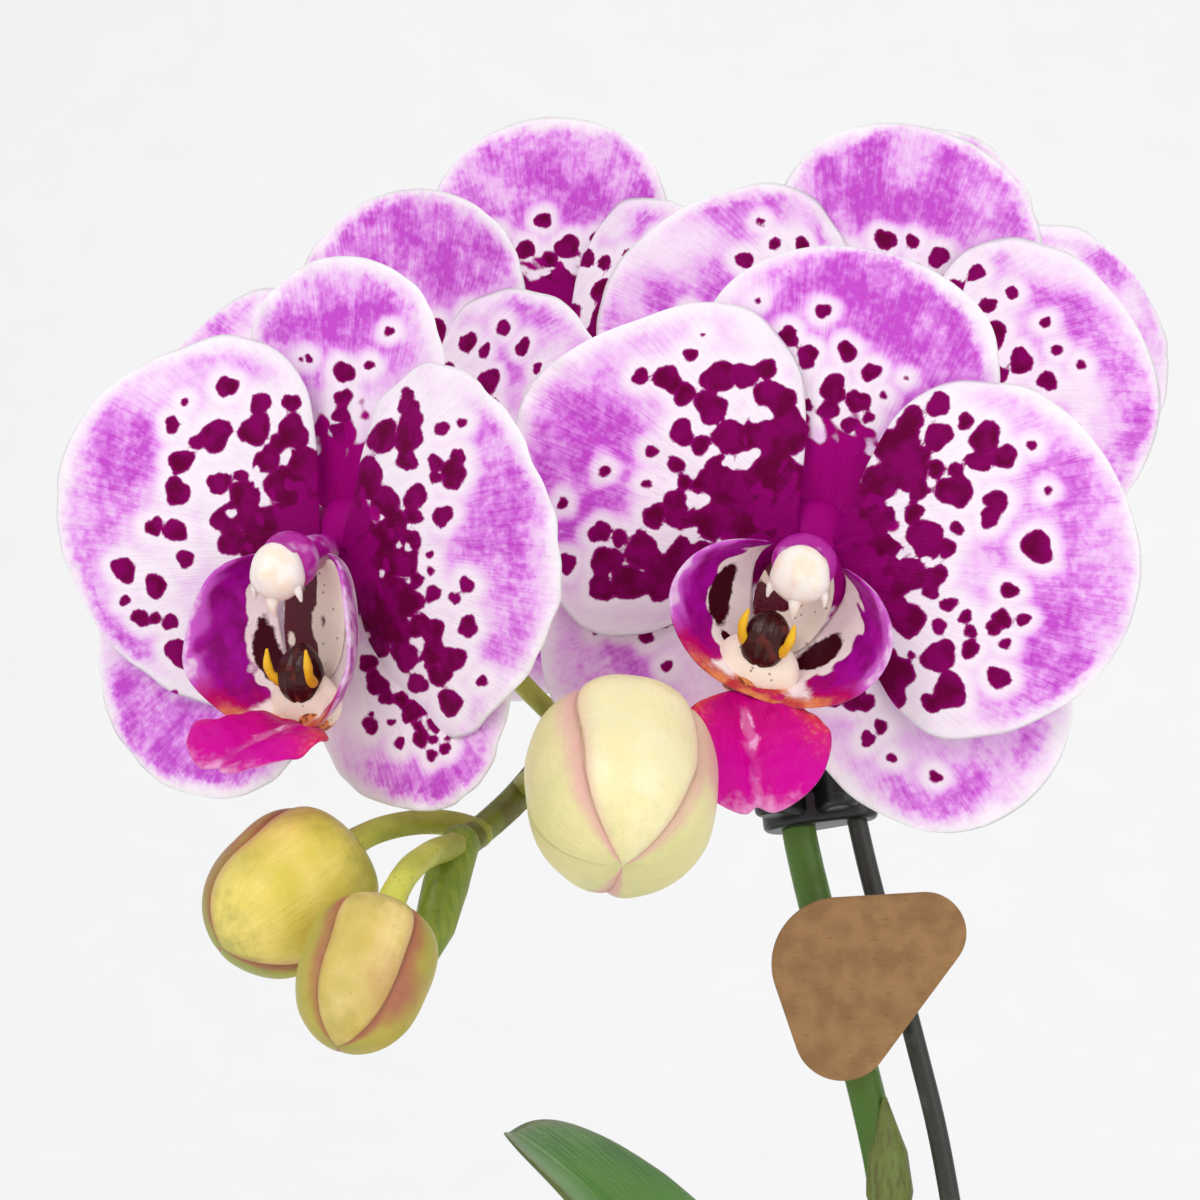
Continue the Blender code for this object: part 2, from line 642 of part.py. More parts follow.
# each root runs from inside the crown, over the bark and down into it; the last goes over the rim
ROOTS = [
    [(2.0, 5.0, 88.0), (15.0, 10.0, 89.0), (26.0, 15.0, 85.0), (32.0, 19.0, 76.0), (33.0, 20.0, 64.0)],
    [(-1.0, 6.0, 85.0), (-5.0, 20.0, 88.5), (-11.0, 30.0, 85.0), (-15.0, 35.0, 76.0), (-16.0, 36.0, 63.0)],
    [(2.0, 2.0, 84.0), (9.0, -11.0, 87.0), (15.0, -22.0, 84.0), (17.0, -28.0, 75.0), (17.0, -29.0, 63.0)],
    [(-2.0, 3.0, 85.0), (-16.0, -2.0, 88.0), (-27.0, -9.0, 85.0), (-32.0, -14.0, 76.0), (-33.0, -15.0, 64.0)],
    [(1.0, 6.0, 90.0), (8.0, 22.0, 94.0), (14.0, 38.0, 98.5), (19.0, 51.0, 98.0), (22.0, 59.0, 88.0),
     (23.0, 62.0, 70.0)],
]


def root_path(points):
    return smooth_path(points, ROOT_POINTS)


def root_radii(path, extra=0.0):
    """Roots keep their thickness and end in a round tip."""
    last = len(path) - 1
    return [ROOT_RADIUS * (1.0 if k < last else 0.55) + extra for k in range(last + 1)]


def build_crown(collection, material):
    bm = bmesh.new()
    height = CROWN_TOP - CROWN_BOTTOM
    bmesh.ops.create_cone(
        bm, cap_ends=True, segments=CROWN_SIDES, radius1=CROWN_RADIUS * MM,
        radius2=CROWN_RADIUS * CROWN_TAPER * MM, depth=height * MM,
        matrix=Matrix.Translation(Vector((CROWN_X, CROWN_Y, CROWN_BOTTOM + height / 2)) * MM),
    )
    crown = object_from_bmesh("crown_and_roots", bm, collection)
    roots = []
    for points in ROOTS:
        path = root_path(points)
        roots.append(tube("root", path, root_radii(path), collection))
    return paint(combine(crown, roots, "UNION"), material)


def build_bark(collection, material):
    """Potting bark: a plug that fills the pot, with chips standing out of its top and plain holes."""
    bm = bmesh.new()
    height = BARK_TOP - BARK_BOTTOM
    bmesh.ops.create_cone(
        bm, cap_ends=True, segments=POT_STEPS,
        radius1=(pot_inner_radius(BARK_BOTTOM) - GAP) * MM,
        radius2=(pot_inner_radius(BARK_TOP) - GAP) * MM, depth=height * MM,
        matrix=Matrix.Translation((0, 0, (BARK_BOTTOM + height / 2) * MM)),
    )
    bark = object_from_bmesh("potting_bark", bm, collection)
    draw = random.Random(CHIP_SEED)
    chips = []
    for number in range(CHIP_COUNT):
        ring = CHIP_RING_INNER + CHIP_RING_SPAN * math.sqrt((number + 0.5) / CHIP_COUNT)
        angle = CHIP_TURN * number
        chip = bmesh.new()
        bmesh.ops.create_cube(chip, size=1.0)
        size = (draw.uniform(*CHIP_LENGTHS), draw.uniform(*CHIP_WIDTHS), draw.uniform(*CHIP_HEIGHTS))
        tilt = Matrix.Rotation(draw.uniform(-CHIP_TILT, CHIP_TILT), 4, "X")
        tilt = tilt @ Matrix.Rotation(draw.uniform(-CHIP_TILT, CHIP_TILT), 4, "Y")
        place = (ring * math.cos(angle), ring * math.sin(angle), BARK_TOP + draw.uniform(*CHIP_RISE))
        matrix = Matrix.Translation(place) @ Matrix.Rotation(draw.uniform(0, math.tau), 4, "Z") @ tilt
        for vert in chip.verts:
            vert.co = matrix @ Vector(a * b for a, b in zip(vert.co, size)) * MM
        chips.append(object_from_bmesh("chip", chip, collection))
    combine(bark, chips, "UNION")
    holes = []
    for points in ROOTS[:-1]:
        path = root_path(points)
        holes.append(tube("hole", path, root_radii(path, GAP), collection))
    stake = smooth_path(STAKE_THROUGH, STAKE_POINTS)
    holes.append(tube("hole", stake, [STAKE_RADIUS + GAP] * len(stake), collection))
    socket = bmesh.new()
    bmesh.ops.create_cone(
        socket, cap_ends=True, segments=CROWN_SIDES, radius1=(CROWN_RADIUS + GAP) * MM,
        radius2=(CROWN_RADIUS + GAP) * MM, depth=SOCKET_DEPTH * MM,
        matrix=Matrix.Translation(Vector((CROWN_X, CROWN_Y, CROWN_BOTTOM - GAP + SOCKET_DEPTH / 2)) * MM),
    )
    holes.append(object_from_bmesh("hole", socket, collection))
    return paint(combine(bark, holes, "DIFFERENCE"), material)


# compass direction off the rank, base height, half width, and the spine: outwards and up from the crown
LEAVES = {
    "leaf_1": (174.0, 24.0, ((8.05, 84.5), (42.0, 118.0), (88.0, 134.0), (132.0, 104.0))),
    "leaf_2": (-10.0, 25.0, ((7.9, 88.5), (38.0, 130.0), (84.0, 152.0), (134.0, 132.0))),
    "leaf_3": (0.0, 20.0, ((7.9, 94.6), (22.0, 131.0), (45.0, 180.5), (81.0, 200.5))),
    "leaf_4": (182.0, 21.0, ((6.75, 98.5), (20.0, 135.0), (46.0, 172.0), (82.0, 184.0))),
    "leaf_5": (12.0, 12.0, ((7.4, 103.5), (12.0, 122.0), (17.0, 148.0), (30.0, 168.0))),
}


def leaf_surface(direction, half_width, spine):
    """A thick strap of a leaf, folded along its midrib, clasping at its base and rounded at its tip."""
    turn = math.radians(LEAF_RANK + direction)
    outwards = Vector((math.cos(turn), math.sin(turn), 0))
    side = Vector((-math.sin(turn), math.cos(turn), 0))
    start = Vector((CROWN_X, CROWN_Y, 0))

    def point_at(p, q):
        t = (p + 1) / 2
        reach, height = cubic(*spine, t)
        ahead, behind = cubic(*spine, min(1, t + 0.02)), cubic(*spine, max(0, t - 0.02))
        run = Vector((ahead[0] - behind[0], ahead[1] - behind[1])).normalized()
        fullness = (1.02 - p * p) ** -0.16
        width = q * fullness * (half_width * (1 - math.exp(-((t + 0.10) / 0.28) ** 1.4)))
        fold = abs(width) * (0.34 + 0.35 * (1 - t) ** 3) - 0.006 * width * width
        place = start + outwards * (reach - fold * run.y) + side * width
        return place + Vector((0, 0, height + fold * run.x))

    return point_at


def build_leaves(collection, material):
    for name, (direction, half_width, spine) in LEAVES.items():
        surface = leaf_surface(direction, half_width, spine)
        paint(blade(name, surface, Matrix(), LEAF_THICKNESS, collection, LEAF_GRID), material)


def build_stake(collection, material):
    path = smooth_path(STAKE_THROUGH, STAKE_POINTS)
    return paint(tube("support_stake", path, [STAKE_RADIUS] * len(path), collection), material)


def outline_around(discs, count):
    """The outline stretched round several discs (x, y, radius), as one string of points."""
    points = []
    for k in range(count):
        angle = math.tau * k / count
        normal = (math.cos(angle), math.sin(angle))
        x, y, radius = max(discs, key=lambda d: d[0] * normal[0] + d[1] * normal[1] + d[2])
        points.append((x + radius * normal[0], y + radius * normal[1]))
    return points


def plate(name, outline, thickness, matrix, collection):
    """A flat plate from an outline: a filled 2D curve with thickness, made a mesh and put in place."""
    curve = bpy.data.curves.new(name, "CURVE")
    curve.dimensions = "2D"
    curve.fill_mode = "BOTH"
    curve.extrude = thickness * MM / 2
    spline = curve.splines.new("POLY")
    spline.points.add(len(outline) - 1)
    for point, (x, y) in zip(spline.points, outline):
        point.co = (x * MM, y * MM, 0, 1)
    spline.use_cyclic_u = True
    source = bpy.data.objects.new(name + "_curve", curve)
    collection.objects.link(source)
    bpy.context.view_layer.update()
    graph = bpy.context.evaluated_depsgraph_get()
    mesh = bpy.data.meshes.new_from_object(source.evaluated_get(graph))
    bpy.data.objects.remove(source)
    bm = bmesh.new()
    bm.from_mesh(mesh)
    bpy.data.meshes.remove(mesh)
    bmesh.ops.remove_doubles(bm, verts=bm.verts, dist=1e-6)
    bmesh.ops.recalc_face_normals(bm, faces=bm.faces)
    for vert in bm.verts:
        vert.co = matrix @ (vert.co / MM) * MM
    return object_from_bmesh(name, bm, collection)


def frame_along(place, direction):
    """A matrix with its z along direction and its x as near to +X as it goes."""
    z = direction.normalized()
    x = (Vector((1, 0, 0)) - z * z.x).normalized()
    y = z.cross(x)
    return Matrix.Translation(place) @ Matrix((x, y, z)).transposed().to_4x4()


def build_clip(collection, material):
    """The clip that holds the spike to the stake: a block round both, cut to them, with two finger tabs."""
    spike = smooth_path(SPIKE_THROUGH, SPIKE_POINTS)
    stake = smooth_path(STAKE_THROUGH, STAKE_POINTS)
    on_spike, direction = at_height(spike, CLIP_CENTRE)
    on_stake, _ = at_height(stake, CLIP_CENTRE)
    frame = frame_along(on_spike, direction)
    local = frame.inverted() @ on_stake
    discs = [(0, 0, CLIP_ROUND_SPIKE), (local.x, local.y, CLIP_ROUND_STAKE)]
    clip = plate("stem_clip", outline_around(discs, 20), CLIP_HEIGHT, frame, collection)
    tabs = []
    for x in (-3.5, local.x * 0.75):
        tab_discs = [(local.x / 3, 0, 1.4), (x, -7.5, 2.4)]
        tabs.append(plate("tab", outline_around(tab_discs, 14), CLIP_HEIGHT - 2, frame, collection))
    combine(clip, tabs, "UNION")
    last = len(spike) - 1
    grooves = [
        tube("groove", spike, [spike_radius(k / last) + GAP for k in range(last + 1)], collection),
        tube("groove", stake, [STAKE_RADIUS + GAP] * len(stake), collection),
    ]
    return paint(combine(clip, grooves, "DIFFERENCE"), material)


def build_tag(collection, tag_material, holder_material):
    """The bare label, upright in front of the spike, and the small ring that holds it on the stake."""
    upright = Matrix.Translation(TAG_CENTRE) @ Matrix.Rotation(math.radians(90), 4, "X")
    paint(plate("tag", outline_around(TAG_DISCS, 32), TAG_THICKNESS, upright, collection), tag_material)
    stake = smooth_path(STAKE_THROUGH, STAKE_POINTS)
    centre, direction = at_height(stake, TAG_CENTRE[2])
    ring_outline = outline_around([(0, 0, HOLDER_RADIUS)], 14)
    ring = plate("tag_holder", ring_outline, HOLDER_HEIGHT, frame_along(centre, direction), collection)
    back = TAG_CENTRE[1] + TAG_THICKNESS / 2 + GAP
    pad = bmesh.new()
    bmesh.ops.create_cube(pad, size=1.0)
    depth = centre.y - STAKE_RADIUS - back
    pad_width, pad_height = HOLDER_PAD
    for vert in pad.verts:
        x, y, z = vert.co
        vert.co = Vector((centre.x + pad_width * x, back + depth * (y + 0.5), centre.z + pad_height * z)) * MM
    combine(ring, [object_from_bmesh("pad", pad, collection)], "UNION")
    groove = tube("groove", stake, [STAKE_RADIUS + GAP] * len(stake), collection)
    return paint(combine(ring, [groove], "DIFFERENCE"), holder_material)


def main():
    clear_scene()
    plant = new_collection("potted_moth_orchid")
    materials = {
        "tepal": new_material("spotted lilac tepal", LILAC, 0.45),
        "lip": new_material("magenta lip", MAGENTA, 0.4),
        "column": new_material("cream column", CREAM, 0.35),
        "bud": new_material("yellow green bud", BUD_YELLOW, 0.45),
        "spike": new_material("green spike", GREEN, 0.45),
        "leaf": new_material("leaf", LEAF_GREEN, 0.35),
        "root": new_material("silver green root", ROOT_SILVER, 0.7),
        "bark": new_material("bark", BARK_BROWN, 0.9),
        "pot": new_material("pot glaze", POT_GREY, 0.4),
        "black": new_material("black plastic", BLACK, 0.4),
        "tag": new_material("kraft board", KRAFT, 0.85),
    }
    build_pot(plant, materials["pot"])
    build_bark(plant, materials["bark"])
    build_crown(plant, materials["root"])
    build_leaves(plant, materials["leaf"])
    build_spike(plant, materials["spike"])
    build_stake(plant, materials["black"])
    build_clip(plant, materials["black"])
    build_tag(plant, materials["tag"], materials["black"])
    build_buds(plant, materials["bud"])
    build_blooms(plant, materials)


main()
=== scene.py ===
"""Potted moth orchid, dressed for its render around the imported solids.

Lengths are in millimetres until a mesh is made, and in metres from there on.
Each living or made part of the plant is a class that works its surface out with numpy,
and each finish is a small class that lays the nodes of one material.
"""

import logging
import math
from dataclasses import dataclass, field, replace
from enum import Enum
from functools import cache
from random import Random

import bpy
import numpy as np
from mathutils import Matrix, Vector


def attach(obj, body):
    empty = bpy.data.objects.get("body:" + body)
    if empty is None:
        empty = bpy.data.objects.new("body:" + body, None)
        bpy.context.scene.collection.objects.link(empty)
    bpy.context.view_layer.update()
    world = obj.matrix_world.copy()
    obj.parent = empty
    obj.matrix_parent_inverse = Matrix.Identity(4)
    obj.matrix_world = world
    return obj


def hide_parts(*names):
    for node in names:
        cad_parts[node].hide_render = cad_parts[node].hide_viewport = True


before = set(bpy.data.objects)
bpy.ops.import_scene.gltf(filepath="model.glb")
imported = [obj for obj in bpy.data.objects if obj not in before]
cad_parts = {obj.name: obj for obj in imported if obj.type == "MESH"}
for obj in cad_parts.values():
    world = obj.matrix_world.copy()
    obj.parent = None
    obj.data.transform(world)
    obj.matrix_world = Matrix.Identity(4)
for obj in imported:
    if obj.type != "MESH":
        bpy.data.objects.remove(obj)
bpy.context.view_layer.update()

MM = 0.001
TAU = 2 * math.pi
BODY = "root"
LOG = logging.getLogger("orchid")

Colour = tuple[float, float, float]
Point = tuple[float, float, float]
Array = np.ndarray
Material = bpy.types.Material


def srgb(red: float, green: float, blue: float) -> Colour:
    """Turn a colour from 0 to 255 per channel, as a screen shows it, into linear light."""
    shares = np.array((red, green, blue)) / 255
    linear = np.where(shares <= 0.04045, shares / 12.92, ((shares + 0.055) / 1.055) ** 2.4)
    return tuple(float(share) for share in linear)


@dataclass
class Surface:
    """Points, faces of three or four corners, and marks that hold one number per point."""

    points: Array
    quads: Array
    triangles: Array
    marks: dict[str, Array] = field(default_factory=dict)

    def moved(self, matrix: Matrix) -> "Surface":
        """Return the surface with its points taken through a matrix of four rows."""
        turn = np.array(matrix)
        return replace(self, points=self.points @ turn[:3, :3].T + turn[:3, 3])

    def marked(self, **marks: float | Array) -> "Surface":
        """Return the surface with more marks, each one number for all its points or one for each."""
        count = len(self.points)
        extra = {name: np.broadcast_to(np.asarray(value, float), count) for name, value in marks.items()}
        return replace(self, marks={**self.marks, **extra})

    @staticmethod
    def joined(parts: list["Surface"]) -> "Surface":
        """Put several surfaces into one.

        Args:
            parts: the surfaces. A mark that one of them lacks is 0 there.

        Returns:
            One surface with the points, faces and marks of them all.
        """
        starts = np.cumsum([0] + [len(part.points) for part in parts[:-1]])
        names = sorted({name for part in parts for name in part.marks})
        marks = {
            name: np.concatenate([part.marks.get(name, np.zeros(len(part.points))) for part in parts])
            for name in names
        }
        return Surface(
            np.concatenate([part.points for part in parts]),
            np.concatenate([part.quads + start for part, start in zip(parts, starts)]),
            np.concatenate([part.triangles + start for part, start in zip(parts, starts)]),
            marks,
        )


def cell_corners(index: Array) -> Array:
    """Return the four corners of each cell of a grid of point numbers."""
    cells = index[:-1, :-1], index[1:, :-1], index[1:, 1:], index[:-1, 1:]
    return np.stack(cells, axis=-1).reshape(-1, 4)


def blade(middle: Array, half: Array, marks: dict[str, Array], chart: Array,
          towards: Point) -> tuple[Surface, Array]:
    """Close a thin leaf of tissue around a middle surface.

    The front is the middle surface plus its normal times half the thickness, the back is the
    middle surface minus that. Both share the grid's outer edge, where the half thickness is 0.
    The grid is turned over where its front would look the wrong way.

    Args:
        middle: points of the middle surface on a grid, as rows, columns, 3.
        half: half the thickness on the same grid.
        marks: numbers on the same grid.
        chart: where its streaks lie, as rows, columns, 2.
        towards: the direction that its front looks along.

    Returns:
        The closed surface, with the mark "front" that is 1 in front and 0 behind, and the chart
        with a row for each of its points.
    """
    rows, columns = half.shape
    row, column = rows // 2, columns // 2
    here, next_row, next_column = middle[row, column], middle[row + 1, column], middle[row, column + 1]
    if np.cross(next_row - here, next_column - here) @ np.array(towards) < 0:
        middle, half, chart = middle[:, ::-1], half[:, ::-1], chart[:, ::-1]
        marks = {name: grid[:, ::-1] for name, grid in marks.items()}
    normal = unit(np.cross(np.gradient(middle, axis=0), np.gradient(middle, axis=1)))
    inside = np.zeros((rows, columns), bool)
    inside[1:-1, 1:-1] = True
    front = np.arange(rows * columns).reshape(rows, columns)
    back = front.copy()
    back[inside] = rows * columns + np.arange(inside.sum())
    offset = normal * half[..., None] * inside[..., None]

    def both(grid: Array) -> Array:
        """Return a grid's rows for the front's points, then for the back's own points."""
        return np.concatenate([grid.reshape(rows * columns, -1), grid[inside].reshape(inside.sum(), -1)])

    spread = {name: both(grid)[:, 0] for name, grid in marks.items()}
    spread["front"] = (np.arange(rows * columns + inside.sum()) < rows * columns) * 1.0
    points = np.concatenate([(middle + offset).reshape(-1, 3), (middle - offset)[inside]])
    quads = np.concatenate([cell_corners(front), cell_corners(back)[:, ::-1]])
    return Surface(points, quads, np.zeros((0, 3), int), spread), both(chart)


def ringed(rings: Array, first: Array, last: Array,
           marks: dict[str, Array] | None = None) -> Surface:
    """Close a stack of rings with a point at each end.

    Args:
        rings: the points as rings, points of a ring, 3, anticlockwise seen from the last end.
        first: the point that closes the first ring.
        last: the point that closes the last ring.
        marks: numbers on the same grid. An end takes the mean of its ring.

    Returns:
        The closed surface.
    """
    count, sides, _ = rings.shape
    index = np.arange(count * sides).reshape(count, sides)
    after = np.roll(index, -1, axis=1)
    quads = np.stack((index[:-1], after[:-1], after[1:], index[1:]), axis=-1).reshape(-1, 4)
    bottom = np.stack((after[0], index[0], np.full(sides, count * sides)), axis=-1)
    top = np.stack((index[-1], after[-1], np.full(sides, count * sides + 1)), axis=-1)
    spread = {
        name: np.concatenate([grid.ravel(), [grid[0].mean(), grid[-1].mean()]])
        for name, grid in (marks or {}).items()
    }
    return Surface(
        np.concatenate([rings.reshape(-1, 3), first[None], last[None]]),
        quads,
        np.concatenate([bottom, top]),
        spread,
    )


def smooth_path(through: list[Point] | tuple[Point, ...], count: int) -> Array:
    """Step evenly along a Catmull-Rom curve.

    Each span is the cubic that passes through its two inner points with the slope of the chord
    between their neighbours. The result is spaced by arc length.

    Args:
        through: the points that the curve passes through.
        count: how many points to return.

    Returns:
        The points, as count, 3.
    """
    points = np.array([through[0], *through, through[-1]], float)
    a, b, c, d = (points[k:len(points) - 3 + k, None, :] for k in range(4))
    t = (np.arange(24) / 24)[None, :, None]
    fine = 0.5 * (2 * b + (c - a) * t + (2 * a - 5 * b + 4 * c - d) * t**2 + (3 * b - a - 3 * c + d) * t**3)
    fine = np.concatenate([fine.reshape(-1, 3), points[-1:]])
    lengths = np.concatenate([[0], np.cumsum(np.linalg.norm(np.diff(fine, axis=0), axis=1))])
    wanted = np.linspace(0, lengths[-1], count)
    return np.stack([np.interp(wanted, lengths, fine[:, k]) for k in range(3)], axis=-1)


def bezier(corners: Array, t: Array) -> Array:
    """Return the cubic Bezier curve of four corners at the shares t, as a new last axis."""
    a, b, c, d = np.asarray(corners, float)
    t = np.asarray(t)[..., None]
    return a * (1 - t) ** 3 + 3 * b * t * (1 - t) ** 2 + 3 * c * t * t * (1 - t) + d * t**3


def point_along(path: Array, share: float) -> tuple[Array, Array]:
    """Find a place on an evenly stepped path.

    Args:
        path: the points, as count, 3.
        share: how far along it, from 0 to 1.

    Returns:
        The point and the direction there.
    """
    place = share * (len(path) - 1)
    index = min(int(place), len(path) - 2)
    step = path[index + 1] - path[index]
    return path[index] + step * (place - index), step / np.linalg.norm(step)


def at_height(path: Array, height: float) -> tuple[Array, Array]:
    """Return the point and the direction of a path where it is nearest to a height."""
    shares = np.linspace(0, 1, 401)
    heights = np.interp(shares, np.linspace(0, 1, len(path)), path[:, 2])
    return point_along(path, float(shares[np.argmin(np.abs(heights - height))]))


def unit(vectors: Array) -> Array:
    """Scale vectors on the last axis to length 1."""
    return vectors / np.maximum(np.linalg.norm(vectors, axis=-1, keepdims=True), 1e-9)


def ease(values: Array, low: float, high: float) -> Array:
    """Rise smoothly from 0 at low to 1 at high, as 3t^2 - 2t^3."""
    t = np.clip((values - low) / (high - low), 0, 1)
    return t * t * (3 - 2 * t)


def waves(points: Array, size: float, seed: int, count: int = 10) -> Array:
    """Return a smooth random field between about -1 and 1.

    The sum of sine waves with seeded directions and phases, whose lengths lie round the size.

    Args:
        points: places on the last axis, of two or three coordinates.
        size: the length of a typical wave.
        seed: picks the waves.
        count: how many waves are added.

    Returns:
        One number for each place.
    """
    draw = np.random.default_rng(seed)
    directions = unit(draw.normal(size=(count, points.shape[-1])))
    pitches = TAU / (size * draw.uniform(0.6, 1.7, count))
    phases = draw.uniform(0, TAU, count)
    turns = np.tensordot(points, (directions * pitches[:, None]).T, axes=1) + phases
    return np.sin(turns).sum(axis=-1) / math.sqrt(count * 0.5) * 0.6


def swept(path: Array, radii: Array, sides: int, caps: int = 4,
          relief: Array | float = 0.0) -> Surface:
    """Carry a round profile along a path and close both ends with domes.

    A ring's point is the path's point plus (radius + relief) times the cosine and sine of its
    angle along two directions square to the path. The first of these is the path's direction
    crossed with the axis of the three that the path turns to least.

    Args:
        path: the middle line, as count, 3.
        radii: one radius for each point of the path.
        sides: points round each ring.
        caps: rings in each end's dome.
        relief: heights over the radius, as count, sides.

    Returns:
        The closed surface, with the mark "along", its length so far in millimetres.
    """
    path, radii = np.asarray(path, float), np.broadcast_to(np.asarray(radii, float), len(path))
    along = unit(np.gradient(path, axis=0))
    steady = np.eye(3)[np.argmin(np.abs(along).max(axis=0))]
    side = unit(np.cross(along, steady))
    over = np.cross(along, side)
    angle = np.linspace(0, TAU, sides, endpoint=False)
    round_ = np.cos(angle)[None, :, None] * side[:, None] + np.sin(angle)[None, :, None] * over[:, None]
    size = radii[:, None] + np.broadcast_to(relief, (len(path), sides))
    rings = path[:, None] + round_ * size[..., None]
    lengths = np.concatenate([[0], np.cumsum(np.linalg.norm(np.diff(path, axis=0), axis=1))])
    grid = np.broadcast_to(lengths[:, None], (len(path), sides))
    lift = np.sin(np.arange(1, caps + 1) / (caps + 1) * TAU / 4)
    shrink = np.sqrt(1 - lift**2)
    head = path[-1] + along[-1] * radii[-1] * lift[:, None]
    head = head[:, None] + (rings[-1] - path[-1])[None] * shrink[:, None, None]
    foot = path[0] - along[0] * radii[0] * lift[::-1, None]
    foot = foot[:, None] + (rings[0] - path[0])[None] * shrink[::-1, None, None]
    grid = np.concatenate([np.repeat(grid[:1], caps, 0), grid, np.repeat(grid[-1:], caps, 0)])
    first, last = path[0] - along[0] * radii[0], path[-1] + along[-1] * radii[-1]
    return ringed(np.concatenate([foot, rings, head]), first, last, {"along": grid})


def tapered(through: list[Point], count: int, sides: int, shares: Point | tuple[float, ...],
            radii: Point | tuple[float, ...]) -> Surface:
    """Sweep a smooth path whose radius runs straight from one share of its length to the next."""
    return swept(smooth_path(through, count), np.interp(np.linspace(0, 1, count), shares, radii), sides)


def spindle(profile: list[tuple[float, float]] | Array, sides: int) -> Surface:
    """Turn a profile round the Z axis.

    Args:
        profile: radius and height, from its foot to its head.
        sides: points round each ring.

    Returns:
        The closed surface.
    """
    profile = np.asarray(profile, float)
    angle = np.linspace(0, TAU, sides, endpoint=False)
    ring = np.stack([np.cos(angle), np.sin(angle), np.zeros(sides)], axis=-1)
    heights = np.zeros((len(profile), 1, 3))
    heights[:, 0, 2] = profile[:, 1]
    rings = profile[:, 0, None, None] * ring[None] + heights
    return ringed(rings, heights[0, 0], heights[-1, 0])


def egg(centre: Point, size: Point, rings: int = 16, sides: int = 24) -> Surface:
    """Build an ellipsoid: the unit ball's points times the half sizes, plus the centre.

    Args:
        centre: its middle.
        size: its three half sizes.
        rings: rings from pole to pole.
        sides: points round each ring.

    Returns:
        The closed surface.
    """
    lift = np.linspace(-1, 1, rings + 2)[1:-1] * TAU / 4
    angle = np.linspace(0, TAU, sides, endpoint=False)
    ball = np.stack([
        np.cos(lift)[:, None] * np.cos(angle),
        np.cos(lift)[:, None] * np.sin(angle),
        np.broadcast_to(np.sin(lift)[:, None], (rings, sides)),
    ], axis=-1)
    pole = np.array((0, 0, 1.0))
    centre, size = np.array(centre, float), np.array(size, float)
    return ringed(ball * size + centre, centre - pole * size, centre + pole * size)


def outline_round(discs: list[Point], count: int) -> Array:
    """Return the outline stretched round discs.

    For each direction, the point of the disc that reaches furthest that way.

    Args:
        discs: each disc's x, y and radius.
        count: how many points the outline gets.

    Returns:
        The points, as count, 2.
    """
    angle = np.linspace(0, TAU, count, endpoint=False)
    normal = np.stack([np.cos(angle), np.sin(angle)], axis=-1)
    table = np.array(discs, float)
    furthest = (normal @ table[:, :2].T + table[:, 2]).argmax(axis=1)
    return table[furthest, :2] + table[furthest, 2:] * normal


def plate(outline: Array, thickness: float, bevel: float, steps: int = 4) -> Surface:
    """Return a flat plate round Z = 0 whose edges are rounded.

    The outline shrinks by bevel (1 - cos a) towards both faces while the height grows by
    bevel sin a.

    Args:
        outline: its points, as count, 2, anticlockwise.
        thickness: the plate's thickness.
        bevel: the radius of its edges.
        steps: rings in each rounded edge.

    Returns:
        The closed surface.
    """
    forward, backward = np.roll(outline, -1, axis=0) - outline, outline - np.roll(outline, 1, axis=0)
    slope = unit(unit(forward) + unit(backward))
    outwards = np.stack([slope[:, 1], -slope[:, 0]], axis=-1)
    angle = np.linspace(0, TAU / 4, steps + 1)
    shrink = bevel * (1 - np.cos(angle))
    height = thickness / 2 - bevel + bevel * np.sin(angle)
    shrink = np.concatenate([shrink[::-1], shrink])
    height = np.concatenate([-height[::-1], height])
    flat = outline[None] - outwards[None] * shrink[:, None, None]
    rings = np.concatenate([flat, np.broadcast_to(height[:, None, None], (*flat.shape[:2], 1))], axis=-1)
    middle = outline.mean(axis=0)
    rims = []
    for ring in (rings[0], rings[-1]):
        towards = np.array([middle[0], middle[1], ring[0, 2]])
        rims.append(towards + (ring - towards) * 0.9)
    rings = np.concatenate([rims[:1], rings, rims[1:]])
    first, last = np.array([*middle, rings[0, 0, 2]]), np.array([*middle, rings[-1, 0, 2]])
    return ringed(rings, first, last)


def frame_along(place: Array, direction: Array) -> Matrix:
    """Make a frame with its z along a direction and its x as near to +X as it goes.

    Args:
        place: its origin.
        direction: the way of its z.

    Returns:
        The matrix from the frame to the plant.
    """
    z = Vector(direction).normalized()
    x = (Vector((1, 0, 0)) - z * z.x).normalized()
    y = z.cross(x)
    return Matrix.Translation(Vector(place)) @ Matrix((x, y, z)).transposed().to_4x4()


